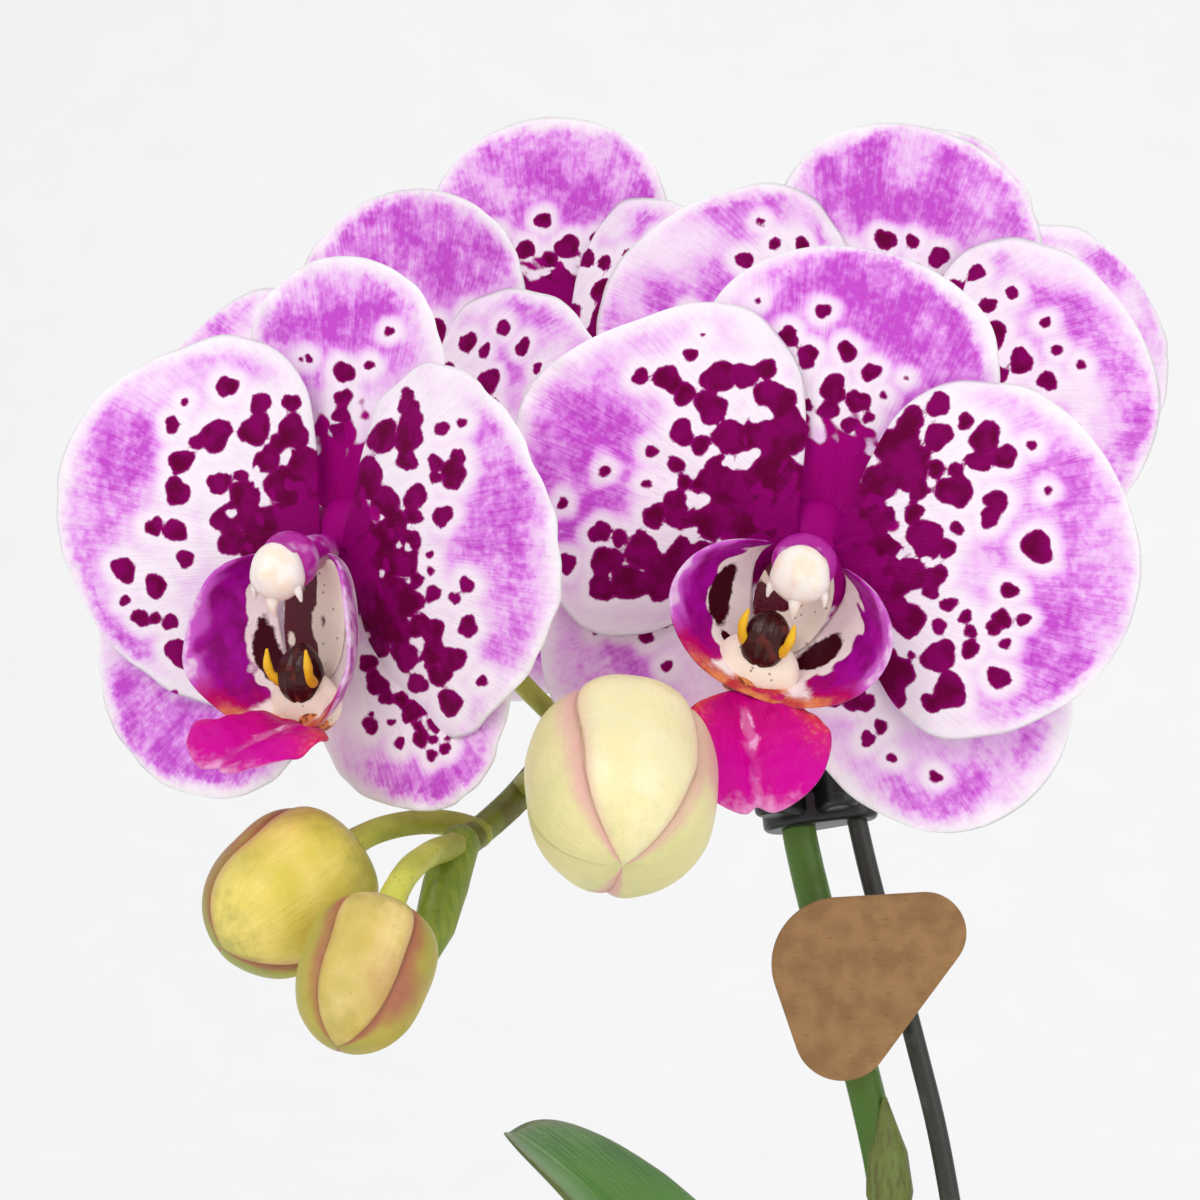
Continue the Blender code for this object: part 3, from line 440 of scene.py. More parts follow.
@dataclass
class Piece:
    """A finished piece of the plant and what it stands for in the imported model."""

    name: str
    surface: Surface
    finish: "Finish"
    nodes: tuple[str, ...]
    slot: str
    streaks: Array | None = None
    sharp_angle: float | None = None

    def place(self) -> bpy.types.Object:
        """Make the mesh in metres, dress it, and hide the solids that it replaces.

        Returns:
            The new object, at the origin, with its place in its mesh.
        """
        surface = self.surface
        mesh = bpy.data.meshes.new(self.name)
        mesh.vertices.add(len(surface.points))
        mesh.vertices.foreach_set("co", (surface.points * MM).astype(np.float32).ravel())
        corners = np.concatenate([surface.quads.ravel(), surface.triangles.ravel()]).astype(np.int32)
        sizes = np.concatenate([np.full(len(surface.quads), 4), np.full(len(surface.triangles), 3)])
        mesh.loops.add(len(corners))
        mesh.loops.foreach_set("vertex_index", corners)
        mesh.polygons.add(len(sizes))
        mesh.polygons.foreach_set("loop_start", (np.cumsum(sizes) - sizes).astype(np.int32))
        mesh.update(calc_edges=True)
        mesh.shade_smooth()
        if self.sharp_angle is not None:
            mesh.set_sharp_from_angle(angle=math.radians(self.sharp_angle))
        for name, values in surface.marks.items():
            mark = mesh.attributes.new(name, "FLOAT", "POINT")
            mark.data.foreach_set("value", values.astype(np.float32))
        if self.streaks is not None:
            chart = mesh.uv_layers.new(name="streaks")
            chart.data.foreach_set("uv", self.streaks[corners].astype(np.float32).ravel())
        mesh.materials.append(self.finish.material())
        piece = bpy.data.objects.new(self.name, mesh)
        bpy.context.scene.collection.objects.link(piece)
        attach(piece, BODY)
        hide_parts(*self.nodes)
        LOG.info("%s: %d faces", self.name, len(sizes))
        return piece


Socket = bpy.types.NodeSocket
Tree = bpy.types.NodeTree
Feed = Socket | float | Colour

BUMP_STRENGTH = 0.7


class Wiring:
    """Adds nodes to one node tree and joins their sockets. Its textures read one place."""

    def __init__(self, tree: Tree, where: Socket | None = None) -> None:
        """Take the tree that the nodes go into and the place that textures read."""
        self.tree = tree
        self.where = where

    def feed(self, socket: Socket, value: Feed) -> None:
        """Join a value's socket to an input, or set the input to the number or colour."""
        if isinstance(value, Socket):
            self.tree.links.new(value, socket)
        elif isinstance(value, tuple) and socket.type == "RGBA":
            socket.default_value = (*value, 1.0)
        else:
            socket.default_value = value

    def node(self, kind: str, inputs: dict[str | int, Feed], **settings: str | Tree) -> bpy.types.Node:
        """Add a shader node of a kind, with its settings, and feed its inputs by name or number."""
        node = self.tree.nodes.new(f"ShaderNode{kind}")
        for name, value in settings.items():
            setattr(node, name, value)
        for name, value in inputs.items():
            self.feed(node.inputs[name], value)
        return node

    def math(self, operation: str, *values: Feed) -> Socket:
        """Return the result of an operation of the Math node, such as ADD."""
        return self.node("Math", dict(enumerate(values)), operation=operation).outputs[0]

    def product(self, *values: Feed) -> Socket:
        """Multiply several values with each other."""
        result = values[0]
        for value in values[1:]:
            result = self.math("MULTIPLY", result, value)
        return result

    def blend(self, share: Feed, first: Feed, second: Feed) -> Socket:
        """Return the colour that goes from the first to the second as the share goes from 0 to 1."""
        return self.node("Mix", {0: share, 6: first, 7: second}, data_type="RGBA").outputs[2]

    def rise(self, value: Feed, low: Feed, high: Feed, foot: float = 0.0, top: float = 1.0) -> Socket:
        """Return a smooth step from foot to top while the value goes from low to high."""
        levels = dict(enumerate((value, low, high, foot, top)))
        return self.node("MapRange", levels, interpolation_type="SMOOTHSTEP").outputs[0]

    def noise(self, scale: Feed, detail: float = 2.0, rough: float = 0.5,
              where: Socket | None = None) -> Socket:
        """Return soft noise from 0 to 1, with scale cells to a metre."""
        place = self.where if where is None else where
        inputs = {"Vector": place, "Scale": scale, "Detail": detail, "Roughness": rough}
        return self.node("TexNoise", inputs).outputs[0]

    def cells(self, scale: Feed, feature: str = "F1") -> Socket:
        """Return the distance to the nearest of scattered points, with scale cells to a metre."""
        inputs = {"Vector": self.where, "Scale": scale}
        return self.node("TexVoronoi", inputs, feature=feature).outputs["Distance"]

    def mark(self, name: str) -> Socket:
        """Read a mark of the mesh."""
        return self.node("Attribute", {}, attribute_name=name).outputs["Fac"]

    def stretched(self, scale: Point) -> Socket:
        """Return the place that textures read, times a scale for each axis."""
        return self.node("Mapping", {"Vector": self.where, "Scale": scale}).outputs[0]

    def group(self, shared: Tree, **inputs: Feed) -> Socket:
        """Place a shared group with its inputs by name, and return its output."""
        return self.node("Group", inputs, node_tree=shared).outputs[0]

    def streaks(self, thinness: float) -> Socket:
        """Return the shared veins, laid along the piece's own map of its streaks."""
        chart = self.node("UVMap", {}, uv_map="streaks").outputs[0]
        return self.group(streak_group(), Chart=chart, Thinness=thinness)

    def mottle(self, cells: float, low: float, high: float) -> Socket:
        """Return the shared mottling, with cells to a metre, stepped between two levels."""
        return self.group(mottle_group(), Place=self.where, Cells=cells, Low=low, High=high)

    def pores(self, cells: float) -> Socket:
        """Return the shared height of fine skin, with cells to a metre."""
        return self.group(pore_group(), Place=self.where, Cells=cells)

    def ragged(self, scale: float, amount: float) -> Socket:
        """Return rough noise between about minus and plus half an amount."""
        return self.product(self.math("SUBTRACT", self.noise(scale, 3.0, 0.6), 0.5), amount)

    def jagged(self, name: str, noise: Feed, low: float, high: float) -> Socket:
        """Return a mark stepped smoothly from low to high after noise is added to it."""
        return self.rise(self.math("ADD", self.mark(name), noise), low, high)


class Paint(Wiring):
    """The wiring of one material. Its textures read the place on the object in metres."""

    def __init__(self, name: str, **sockets: float | Point) -> None:
        """Start the material.

        Args:
            name: the material's name.
            sockets: values of the shader's sockets, with an underscore for a space.
        """
        self.material = bpy.data.materials.new(name)
        self.material.use_nodes = True
        super().__init__(self.material.node_tree)
        self.shader = self.tree.nodes["Principled BSDF"]
        for socket, value in sockets.items():
            self.shader.inputs[socket.replace("_", " ")].default_value = value
        self.where = self.node("TexCoord", {}).outputs["Object"]

    def dress(self, colour: Feed, rough: Feed, height: Socket, depth: float) -> Material:
        """Return the material with its colour, its roughness and a relief.

        Args:
            colour: its colour.
            rough: its roughness.
            height: its relief, from 0 to 1.
            depth: how deep the relief is, in metres.

        Returns:
            The finished material.
        """
        self.feed(self.shader.inputs["Base Color"], colour)
        self.feed(self.shader.inputs["Roughness"], rough)
        bump = self.node("Bump", {"Strength": BUMP_STRENGTH, "Distance": depth, "Height": height})
        self.feed(self.shader.inputs["Normal"], bump.outputs[0])
        return self.material


def open_group(name: str, output: str,
               **inputs: float | None) -> tuple[Wiring, dict[str, Socket], Socket]:
    """Start a shared group of nodes. Its textures read its first input.

    Args:
        name: the group's name.
        output: the name of its one output.
        inputs: each input's usual value, or None for a vector.

    Returns:
        The group's wiring, the inputs' sockets by name, and the socket that takes the output.
    """
    tree = bpy.data.node_groups.new(name, "ShaderNodeTree")
    for label, value in inputs.items():
        kind = "NodeSocketVector" if value is None else "NodeSocketFloat"
        socket = tree.interface.new_socket(label, in_out="INPUT", socket_type=kind)
        if value is not None:
            socket.default_value = value
    tree.interface.new_socket(output, in_out="OUTPUT", socket_type="NodeSocketFloat")
    entry = tree.nodes.new("NodeGroupInput")
    leave = tree.nodes.new("NodeGroupOutput")
    given = {label: entry.outputs[label] for label in inputs}
    return Wiring(tree, entry.outputs[0]), given, leave.inputs[output]


@cache
def streak_group() -> Tree:
    """Build the shared veins: noise that is long one way, drawn thin where it crosses its middle."""
    lay, given, leave = open_group("vein_streaks", "Streaks", Chart=None, Thinness=0.06)
    veins = lay.noise(1.1, 1.0, where=lay.stretched((1.0, 0.07, 1.0)))
    crossing = lay.math("ABSOLUTE", lay.math("SUBTRACT", veins, 0.5))
    thin = lay.math("DIVIDE", crossing, given["Thinness"])
    line = lay.math("SUBTRACT", 1.0, lay.math("MINIMUM", thin, 1.0))
    bands = lay.rise(lay.noise(0.55, 3.0, where=lay.stretched((1.0, 0.12, 1.0))), 0.35, 0.65)
    lay.feed(leave, lay.math("ADD", lay.product(line, 0.55), lay.product(bands, 0.45)))
    return lay.tree


@cache
def pore_group() -> Tree:
    """Build the shared fine skin: rounded cells with soft noise over them, as a height."""
    lay, given, leave = open_group("fine_pores", "Height", Place=None, Cells=2600.0)
    cells = lay.cells(given["Cells"], "SMOOTH_F1")
    soft = lay.noise(900.0, 3.0)
    lay.feed(leave, lay.math("ADD", lay.product(cells, -0.5), soft))
    return lay.tree


@cache
def mottle_group() -> Tree:
    """Build the shared mottling: noise with finer noise over it, stepped between two levels."""
    lay, given, leave = open_group("mottle", "Mask", Place=None, Cells=150.0, Low=0.4, High=0.6)
    lay.feed(leave, lay.rise(lay.noise(given["Cells"], 4.0), given["Low"], given["High"]))
    return lay.tree


@dataclass(frozen=True)
class TepalFinish:
    """Lilac petal tissue: a cloudy wash, fine veins, a pale rim, and burgundy spots round a throat."""

    pale: Colour = srgb(252, 240, 250)
    wash: Colour = srgb(232, 150, 238)
    deep: Colour = srgb(198, 70, 204)
    spot_dark: Colour = srgb(102, 0, 56)
    spot_light: Colour = srgb(156, 0, 120)
    throat: Colour = srgb(162, 0, 118)

    def build(self) -> Material:
        """Lay the nodes of the tepals' material.

        Returns:
            The material. It reads the marks spot, rim, wash, throat and front.
        """
        lay = Paint("tepal tissue", Subsurface_Scale=0.0015, Subsurface_Radius=(1.0, 0.7, 0.9))
        streaks = lay.streaks(0.07)
        cloud = lay.mottle(230.0, 0.3, 0.7)
        grain = lay.noise(1000.0, 3.0, 0.6)
        spot = lay.math("ADD", lay.mark("spot"), lay.ragged(1000.0, 0.6))
        spotted = lay.rise(spot, -0.13, 0.13)
        uneven = lay.math("ADD", lay.ragged(1000.0, 1.2), lay.ragged(95.0, 5.0))
        share = lay.product(
            lay.mark("wash"), lay.rise(streaks, 0.0, 1.0, 0.84, 1.1), lay.rise(cloud, 0.0, 1.0, 0.7, 1.14),
            lay.rise(grain, 0.3, 0.7, 0.76, 1.2), lay.rise(spot, -2.1, -0.3, 1.0, 0.12),
            lay.jagged("rim", uneven, -0.1, 2.5),
        )
        facing = lay.blend(lay.math("MINIMUM", lay.product(share, 1.2), 1.0), self.pale, self.wash)
        facing = lay.blend(lay.rise(share, 0.55, 1.45, 0.0, 1.0), facing, self.deep)
        throat = lay.jagged("throat", lay.ragged(700.0, 0.6), 0.25, 0.75)
        veined = lay.blend(lay.product(streaks, 0.6), self.throat, self.spot_light)
        facing = lay.blend(throat, facing, veined)
        tone = lay.rise(lay.noise(330.0, 2.0), 0.35, 0.65, 0.0, 0.5)
        tone = lay.math("MAXIMUM", tone, lay.rise(spot, 0.0, 0.6, 0.75, 0.0))
        tone = lay.math("MAXIMUM", tone, lay.product(throat, 0.7))
        facing = lay.blend(spotted, facing, lay.blend(tone, self.spot_dark, self.spot_light))
        behind = lay.blend(lay.product(share, 0.7), self.pale, self.wash)
        behind = lay.blend(lay.product(spotted, 0.4), behind, self.throat)
        dark = lay.math("MAXIMUM", spotted, throat)
        lay.feed(lay.shader.inputs["Specular IOR Level"], lay.rise(dark, 0.0, 1.0, 0.3, 0.04))
        lay.feed(lay.shader.inputs["Subsurface Weight"], lay.rise(lay.mark("rim"), 0.0, 0.8, 0.7, 0.08))
        height = lay.math("ADD", lay.pores(2400.0), streaks)
        return lay.dress(
            lay.blend(lay.mark("front"), behind, facing),
            lay.rise(lay.noise(420.0, 3.0), 0.3, 0.7, 0.42, 0.56), height, 0.00009,
        )


@dataclass(frozen=True)
class SideLobeFinish:
    """The lip's upright side lobes: violet towards the rim, dark blotches inside that are partly real
    markings and partly painted shade in the cup, and an amber foot.
    """

    pale: Colour = srgb(255, 238, 236)
    outside: Colour = srgb(246, 226, 242)
    violet: Colour = srgb(170, 4, 156)
    plum: Colour = srgb(142, 0, 118)
    lilac: Colour = srgb(206, 92, 204)
    wine: Colour = srgb(186, 0, 100)
    # the dark marking inside each ear, which also stands for the painted shade inside the cup
    blotch: Colour = srgb(66, 4, 22)
    amber: Colour = srgb(226, 134, 84)
    rust: Colour = srgb(186, 30, 58)
    rim: Colour = srgb(246, 222, 246)

    def build(self) -> Material:
        """Lay the nodes of the side lobes' material.

        Returns:
            The material. It reads the marks violet, blotch, amber, line and front.
        """
        lay = Paint(
            "lip side lobes", Subsurface_Weight=0.08, Subsurface_Scale=0.0015,
            Subsurface_Radius=(1.0, 0.3, 0.6), Specular_IOR_Level=0.08,
        )
        mottle = lay.mottle(420.0, 0.36, 0.66)
        ragged = lay.ragged(900.0, 0.5)
        violet = lay.jagged("violet", ragged, 0.34, 0.66)
        inside = lay.blend(lay.product(mottle, 0.1), self.pale, self.violet)
        hue = lay.blend(mottle, self.violet, self.plum)
        hue = lay.blend(lay.jagged("line", ragged, 0.0, 0.8), hue, self.lilac)
        hue = lay.blend(lay.jagged("amber", ragged, 0.0, 0.45), hue, self.wine)
        inside = lay.blend(violet, inside, hue)
        foot = lay.blend(lay.product(mottle, 0.9), self.amber, self.rust)
        inside = lay.blend(lay.jagged("amber", ragged, 0.4, 0.9), inside, foot)
        # real dark markings, drawn large enough to paint the shade inside the cup as well
        inside = lay.blend(lay.jagged("blotch", ragged, 0.42, 0.58), inside, self.blotch)
        tinted = lay.product(violet, lay.rise(mottle, 0.0, 1.0, 0.4, 0.9))
        outside = lay.blend(tinted, self.outside, self.violet)
        colour = lay.blend(lay.mark("front"), outside, inside)
        colour = lay.blend(lay.product(lay.jagged("line", ragged, 0.8, 1.15), 0.9), colour, self.rim)
        return lay.dress(colour, lay.rise(mottle, 0.0, 1.0, 0.3, 0.42), lay.pores(3000.0), 0.00012)


@dataclass(frozen=True)
class MidLobeFinish:
    """The lip's middle lobe: magenta, with rusty shoulders, a painted highlight as a pale streak along its
    keel, and a pale tip.
    """

    magenta: Colour = srgb(206, 0, 128)
    cool: Colour = srgb(208, 0, 150)
    rust: Colour = srgb(222, 56, 62)
    orange: Colour = srgb(240, 128, 74)
    # pale: the real pale tip and back, and also the painted highlight along the keel
    pale: Colour = srgb(246, 186, 226)
    dark: Colour = srgb(136, 0, 66)

    def build(self) -> Material:
        """Lay the nodes of the middle lobe's material.

        Returns:
            The material. It reads the marks along, across and front.
        """
        lay = Paint(
            "lip middle lobe", Subsurface_Weight=0.06, Subsurface_Scale=0.0015,
            Subsurface_Radius=(1.0, 0.2, 0.5), Specular_IOR_Level=0.08,
        )
        along, across = lay.mark("along"), lay.math("ABSOLUTE", lay.mark("across"))
        streaks = lay.streaks(0.1)
        mottle = lay.mottle(520.0, 0.36, 0.62)
        ragged = lay.ragged(600.0, 0.3)
        colour = lay.blend(lay.rise(along, 0.25, 0.75), self.magenta, self.cool)
        edge = lay.math("ADD", across, lay.product(ragged, 1.6))
        shoulder = lay.product(lay.rise(along, 0.8, 0.2), lay.rise(edge, 0.5, 0.95))
        rusty = lay.blend(lay.rise(lay.noise(1500.0), 0.5, 0.7), self.rust, self.orange)
        colour = lay.blend(lay.product(shoulder, lay.rise(mottle, 0.0, 1.0, 0.5, 1.0)), colour, rusty)
        veins = lay.product(lay.rise(along, 0.5, 0.15), streaks, 0.45)
        colour = lay.blend(veins, colour, self.dark)
        # painted highlight: a pale streak along the crease of the keel
        keel = lay.product(
            lay.rise(lay.math("ADD", across, ragged), 0.13, 0.03), lay.rise(along, 0.16, 0.24),
            lay.rise(along, 0.62, 0.42, 0.25, 1.0), lay.rise(mottle, 0.2, 0.6, 1.0, 0.3),
        )
        colour = lay.blend(lay.product(keel, 0.85), colour, self.pale)
        tip = lay.rise(lay.math("ADD", along, lay.product(ragged, 1.2)), 0.84, 1.06, 0.0, 0.7)
        colour = lay.blend(tip, colour, self.pale)
        behind = lay.blend(0.5, self.pale, self.cool)
        return lay.dress(
            lay.blend(lay.mark("front"), behind, colour), lay.rise(mottle, 0.0, 1.0, 0.34, 0.46),
            lay.math("ADD", lay.pores(2600.0), streaks), 0.0001,
        )


@dataclass(frozen=True)
class CallusFinish:
    """The callus on the lip's floor: dark maroon, two bright yellow horns, and the pale floor round it."""

    maroon: Colour = srgb(58, 14, 14)
    russet: Colour = srgb(116, 38, 22)
    yellow: Colour = srgb(244, 192, 34)
    floor: Colour = srgb(254, 238, 220)
    orange: Colour = srgb(222, 132, 72)
    wine: Colour = srgb(92, 4, 34)

    def build(self) -> Material:
        """Lay the nodes of the callus's material.

        Returns:
            The material. It reads the marks horn, floor, ahead and deep.
        """
        lay = Paint("lip callus", Subsurface_Weight=0.06, Subsurface_Scale=0.001, Specular_IOR_Level=0.3)
        ragged = lay.ragged(800.0, 0.6)
        dots = lay.rise(lay.cells(800.0), 0.1, 0.17, 0.6, 0.0)
        rusty = lay.blend(lay.rise(lay.noise(1300.0), 0.46, 0.62), self.orange, self.russet)
        floor = lay.blend(lay.jagged("ahead", ragged, 0.5, 0.9), self.floor, rusty)
        floor = lay.blend(dots, floor, self.russet)
        floor = lay.blend(lay.jagged("deep", ragged, 0.4, 0.6), floor, self.wine)
        tone = lay.rise(lay.noise(600.0, 3.0), 0.5, 0.72, 0.0, 0.7)
        colour = lay.blend(lay.mark("floor"), lay.blend(tone, self.maroon, self.russet), floor)
        horn = lay.blend(lay.rise(lay.noise(900.0), 0.5, 0.75, 0.0, 0.35), self.yellow, self.orange)
        colour = lay.blend(lay.mark("horn"), colour, horn)
        return lay.dress(colour, lay.rise(tone, 0.0, 0.7, 0.26, 0.4), lay.pores(3600.0), 0.0001)


@dataclass(frozen=True)
class ColumnFinish:
    """The column: a cream anther cap in front of a purple hood, greyish pink beneath."""

    cream: Colour = srgb(254, 242, 232)
    warm: Colour = srgb(250, 220, 190)
    purple: Colour = srgb(176, 22, 150)
    lavender: Colour = srgb(226, 176, 226)
    under: Colour = srgb(196, 140, 166)

    def build(self) -> Material:
        """Lay the nodes of the column's material.

        Returns:
            The material. It reads the marks cap and hood.
        """
        lay = Paint(
            "column", Subsurface_Weight=0.2, Subsurface_Scale=0.002, Subsurface_Radius=(1.0, 0.6, 0.7),
            Specular_IOR_Level=0.35,
        )
        soft = lay.noise(420.0, 2.0)
        cap = lay.blend(lay.rise(soft, 0.4, 0.75, 0.0, 0.7), self.cream, self.warm)
        streaked = lay.rise(lay.noise(330.0, 2.0), 0.5, 0.72, 0.0, 0.7)
        hood = lay.blend(streaked, self.purple, self.lavender)
        body = lay.blend(lay.jagged("hood", lay.ragged(900.0, 0.5), 0.3, 0.7), self.under, hood)
        colour = lay.blend(lay.jagged("cap", lay.ragged(900.0, 0.4), 0.35, 0.65), body, cap)
        return lay.dress(colour, lay.rise(soft, 0.3, 0.7, 0.28, 0.4), lay.pores(3200.0), 0.0001)


@dataclass(frozen=True)
class BudFinish:
    """A closed bud: waxy and finely streaked, with tinted seams, painted shade along the grooves between
    its sepals, and a second tint on its lower sepals.
    """

    name: str
    body: Colour
    flank: Colour
    lower: Colour
    seam: Colour
    # line: painted shade along the grooves between the sepals; the specks use the same colour
    line: Colour

    def build(self) -> Material:
        """Lay the nodes of a bud's material.

        Returns:
            The material. It reads the marks seam, line, main, blush and along.
        """
        lay = Paint(
            self.name, Subsurface_Weight=0.2, Subsurface_Scale=0.003, Subsurface_Radius=(1.0, 0.8, 0.4),
            Specular_IOR_Level=0.3,
        )
        streaks = lay.streaks(0.12)
        drift = lay.mottle(110.0, 0.35, 0.68)
        patches = lay.mottle(64.0, 0.42, 0.62)
        ragged = lay.ragged(420.0, 0.6)
        colour = lay.blend(lay.product(drift, 0.9), self.body, self.flank)
        colour = lay.blend(lay.product(patches, 0.45), colour, self.lower)
        colour = lay.blend(lay.product(streaks, 0.3), colour, self.flank)
        main = lay.mark("main")
        colour = lay.blend(main, lay.blend(lay.product(drift, 0.5), self.lower, self.flank), colour)
        ends = lay.jagged("along", ragged, 0.3, 0.0), lay.jagged("along", ragged, 0.8, 1.1)
        green = lay.math("MAXIMUM", *ends)
        colour = lay.blend(lay.product(green, 0.6), colour, self.lower)
        tints = lay.jagged("seam", ragged, 0.1, 1.0), lay.jagged("blush", ragged, 0.2, 1.0)
        tinted = lay.math("MAXIMUM", *tints)
        tinted = lay.product(tinted, lay.rise(patches, 0.0, 1.0, 1.0, 0.72))
        fading = lay.rise(lay.mark("main"), 0.0, 1.0, 0.85, 0.4)
        colour = lay.blend(lay.product(tinted, fading), colour, self.seam)
        # painted shade along the bottom of each groove between the sepals
        colour = lay.blend(lay.product(lay.mark("line"), 0.6), colour, self.line)
        specks = lay.rise(lay.cells(620.0), 0.06, 0.14, 0.16, 0.0)
        colour = lay.blend(specks, colour, self.line)
        skin = lay.pores(2000.0)
        return lay.dress(
            colour, lay.rise(drift, 0.0, 1.0, 0.34, 0.44), lay.math("ADD", skin, lay.product(streaks, 0.5)),
            0.00013,
        )


@dataclass(frozen=True)
class StemFinish:
    """The spike: green low down, olive brown along the rachis, with lime stalks and dry bracts."""

    green: Colour = srgb(80, 120, 40)
    olive: Colour = srgb(116, 128, 42)
    plum: Colour = srgb(92, 76, 40)
    stalk: Colour = srgb(212, 212, 92)
    paper: Colour = srgb(118, 134, 64)
    tip: Colour = srgb(140, 154, 54)

    def build(self) -> Material:
        """Lay the nodes of the spike's material.

        Returns:
            The material. It reads the marks rachis, stalk, bract and growing.
        """
        lay = Paint(
            "flower spike", Subsurface_Weight=0.08, Subsurface_Scale=0.002,
            Subsurface_Radius=(0.8, 1.0, 0.3), Specular_IOR_Level=0.35,
        )
        mottle = lay.mottle(260.0, 0.4, 0.66)
        fibre = lay.noise(1500.0, 3.0, where=lay.stretched((1.0, 1.0, 0.2)))
        colour = lay.blend(lay.mark("rachis"), self.green, self.olive)
        tint = lay.product(mottle, lay.rise(lay.mark("rachis"), 0.0, 1.0, 0.18, 0.6))
        colour = lay.blend(tint, colour, self.plum)
        stalk = lay.blend(lay.product(mottle, 0.3), self.stalk, self.olive)
        colour = lay.blend(lay.mark("stalk"), colour, stalk)
        tip = lay.blend(lay.rise(fibre, 0.3, 0.7, 0.0, 0.5), self.tip, self.green)
        colour = lay.blend(lay.mark("growing"), colour, tip)
        papery = lay.blend(lay.rise(fibre, 0.35, 0.75, 0.0, 0.7), self.paper, self.plum)
        colour = lay.blend(lay.mark("bract"), colour, papery)
        specks = lay.rise(lay.cells(900.0), 0.1, 0.2, 0.3, 0.0)
        colour = lay.blend(specks, colour, self.plum)
        skin = lay.pores(1800.0)
        return lay.dress(
            colour, lay.rise(mottle, 0.0, 1.0, 0.36, 0.52), lay.math("ADD", skin, fibre), 0.0001,
        )


@dataclass(frozen=True)
class LeafFinish:
    """A leathery leaf: deep green above with faint lengthwise veins, paler and duller beneath."""

    deep: Colour = srgb(44, 96, 24)
    fresh: Colour = srgb(78, 132, 38)
    vein: Colour = srgb(102, 146, 60)
    under: Colour = srgb(108, 142, 66)
    rim: Colour = srgb(92, 96, 50)

    def build(self) -> Material:
        """Lay the nodes of the leaves' material.

        Returns:
            The material. It reads the marks midrib, rim, along and front.
        """
        lay = Paint(
            "leaf", Subsurface_Weight=0.05, Subsurface_Scale=0.002, Subsurface_Radius=(0.5, 1.0, 0.2),
            Coat_Roughness=0.32, Specular_IOR_Level=0.32,
        )
        streaks = lay.streaks(0.09)
        drift = lay.mottle(34.0, 0.36, 0.68)
        fine = lay.mottle(420.0, 0.4, 0.62)
        colour = lay.blend(drift, self.deep, self.fresh)
        colour = lay.blend(lay.product(fine, 0.22), colour, self.fresh)
        colour = lay.blend(lay.product(streaks, 0.28), colour, self.vein)
        base = lay.rise(lay.mark("along"), 0.22, 0.0)
        colour = lay.blend(lay.product(base, 0.6), colour, self.vein)
        midrib = lay.rise(lay.mark("midrib"), 0.3, 1.0)
        colour = lay.blend(lay.product(midrib, 0.55), colour, self.vein)
        under = lay.blend(lay.product(streaks, 0.4), self.under, self.fresh)
        colour = lay.blend(lay.mark("front"), under, colour)
        rim = lay.rise(lay.mark("rim"), 0.9, 0.1, 0.0, 0.7)
        colour = lay.blend(rim, colour, self.rim)
        lay.feed(lay.shader.inputs["Coat Weight"], lay.rise(drift, 0.0, 1.0, 0.04, 0.14))
        gloss = lay.rise(lay.noise(60.0, 4.0), 0.3, 0.7, 0.34, 0.46)
        skin = lay.pores(1300.0)
        return lay.dress(colour, gloss, lay.math("ADD", skin, streaks), 0.0001)


@dataclass(frozen=True)
class RootFinish:
    """Air roots and the crown: a silvery skin with green showing through, and green root tips."""

    silver: Colour = srgb(176, 182, 152)
    green: Colour = srgb(112, 132, 74)
    dirt: Colour = srgb(122, 104, 74)
    tip: Colour = srgb(118, 150, 62)

    def build(self) -> Material:
        """Lay the nodes of the roots' material.

        Returns:
            The material. It reads the marks growing and sheath.
        """
        lay = Paint("root skin")
        mottle = lay.mottle(230.0, 0.38, 0.62)
        dirty = lay.mottle(90.0, 0.52, 0.72)
        colour = lay.blend(mottle, self.silver, self.green)
        colour = lay.blend(lay.product(dirty, 0.6), colour, self.dirt)
        colour = lay.blend(lay.product(lay.mark("sheath"), 0.8), colour, self.green)
        colour = lay.blend(lay.mark("growing"), colour, self.tip)
        return lay.dress(colour, lay.rise(mottle, 0.0, 1.0, 0.55, 0.8), lay.pores(1500.0), 0.0003)


@dataclass(frozen=True)
class BarkFinish:
    """Composted pine bark: each chip has its own brown, with dark grain and a pale broken face."""

    dark: Colour = srgb(70, 42, 28)
    warm: Colour = srgb(132, 84, 54)
    pale: Colour = srgb(176, 132, 92)

    def build(self) -> Material:
        """Lay the nodes of the bark's material.

        Returns:
            The material. It reads the mark tone, which each chip has its own of.
        """
        lay = Paint("pine bark")
        grain = lay.noise(900.0, 4.0, 0.65, lay.stretched((0.3, 1.0, 1.0)))
        mottle = lay.mottle(190.0, 0.38, 0.66)
        colour = lay.blend(lay.mark("tone"), self.dark, self.warm)
        colour = lay.blend(lay.product(mottle, 0.5), colour, self.pale)
        colour = lay.blend(lay.rise(grain, 0.62, 0.35, 0.0, 0.8), colour, self.dark)
        return lay.dress(colour, lay.rise(mottle, 0.0, 1.0, 0.7, 0.92), grain, 0.001)


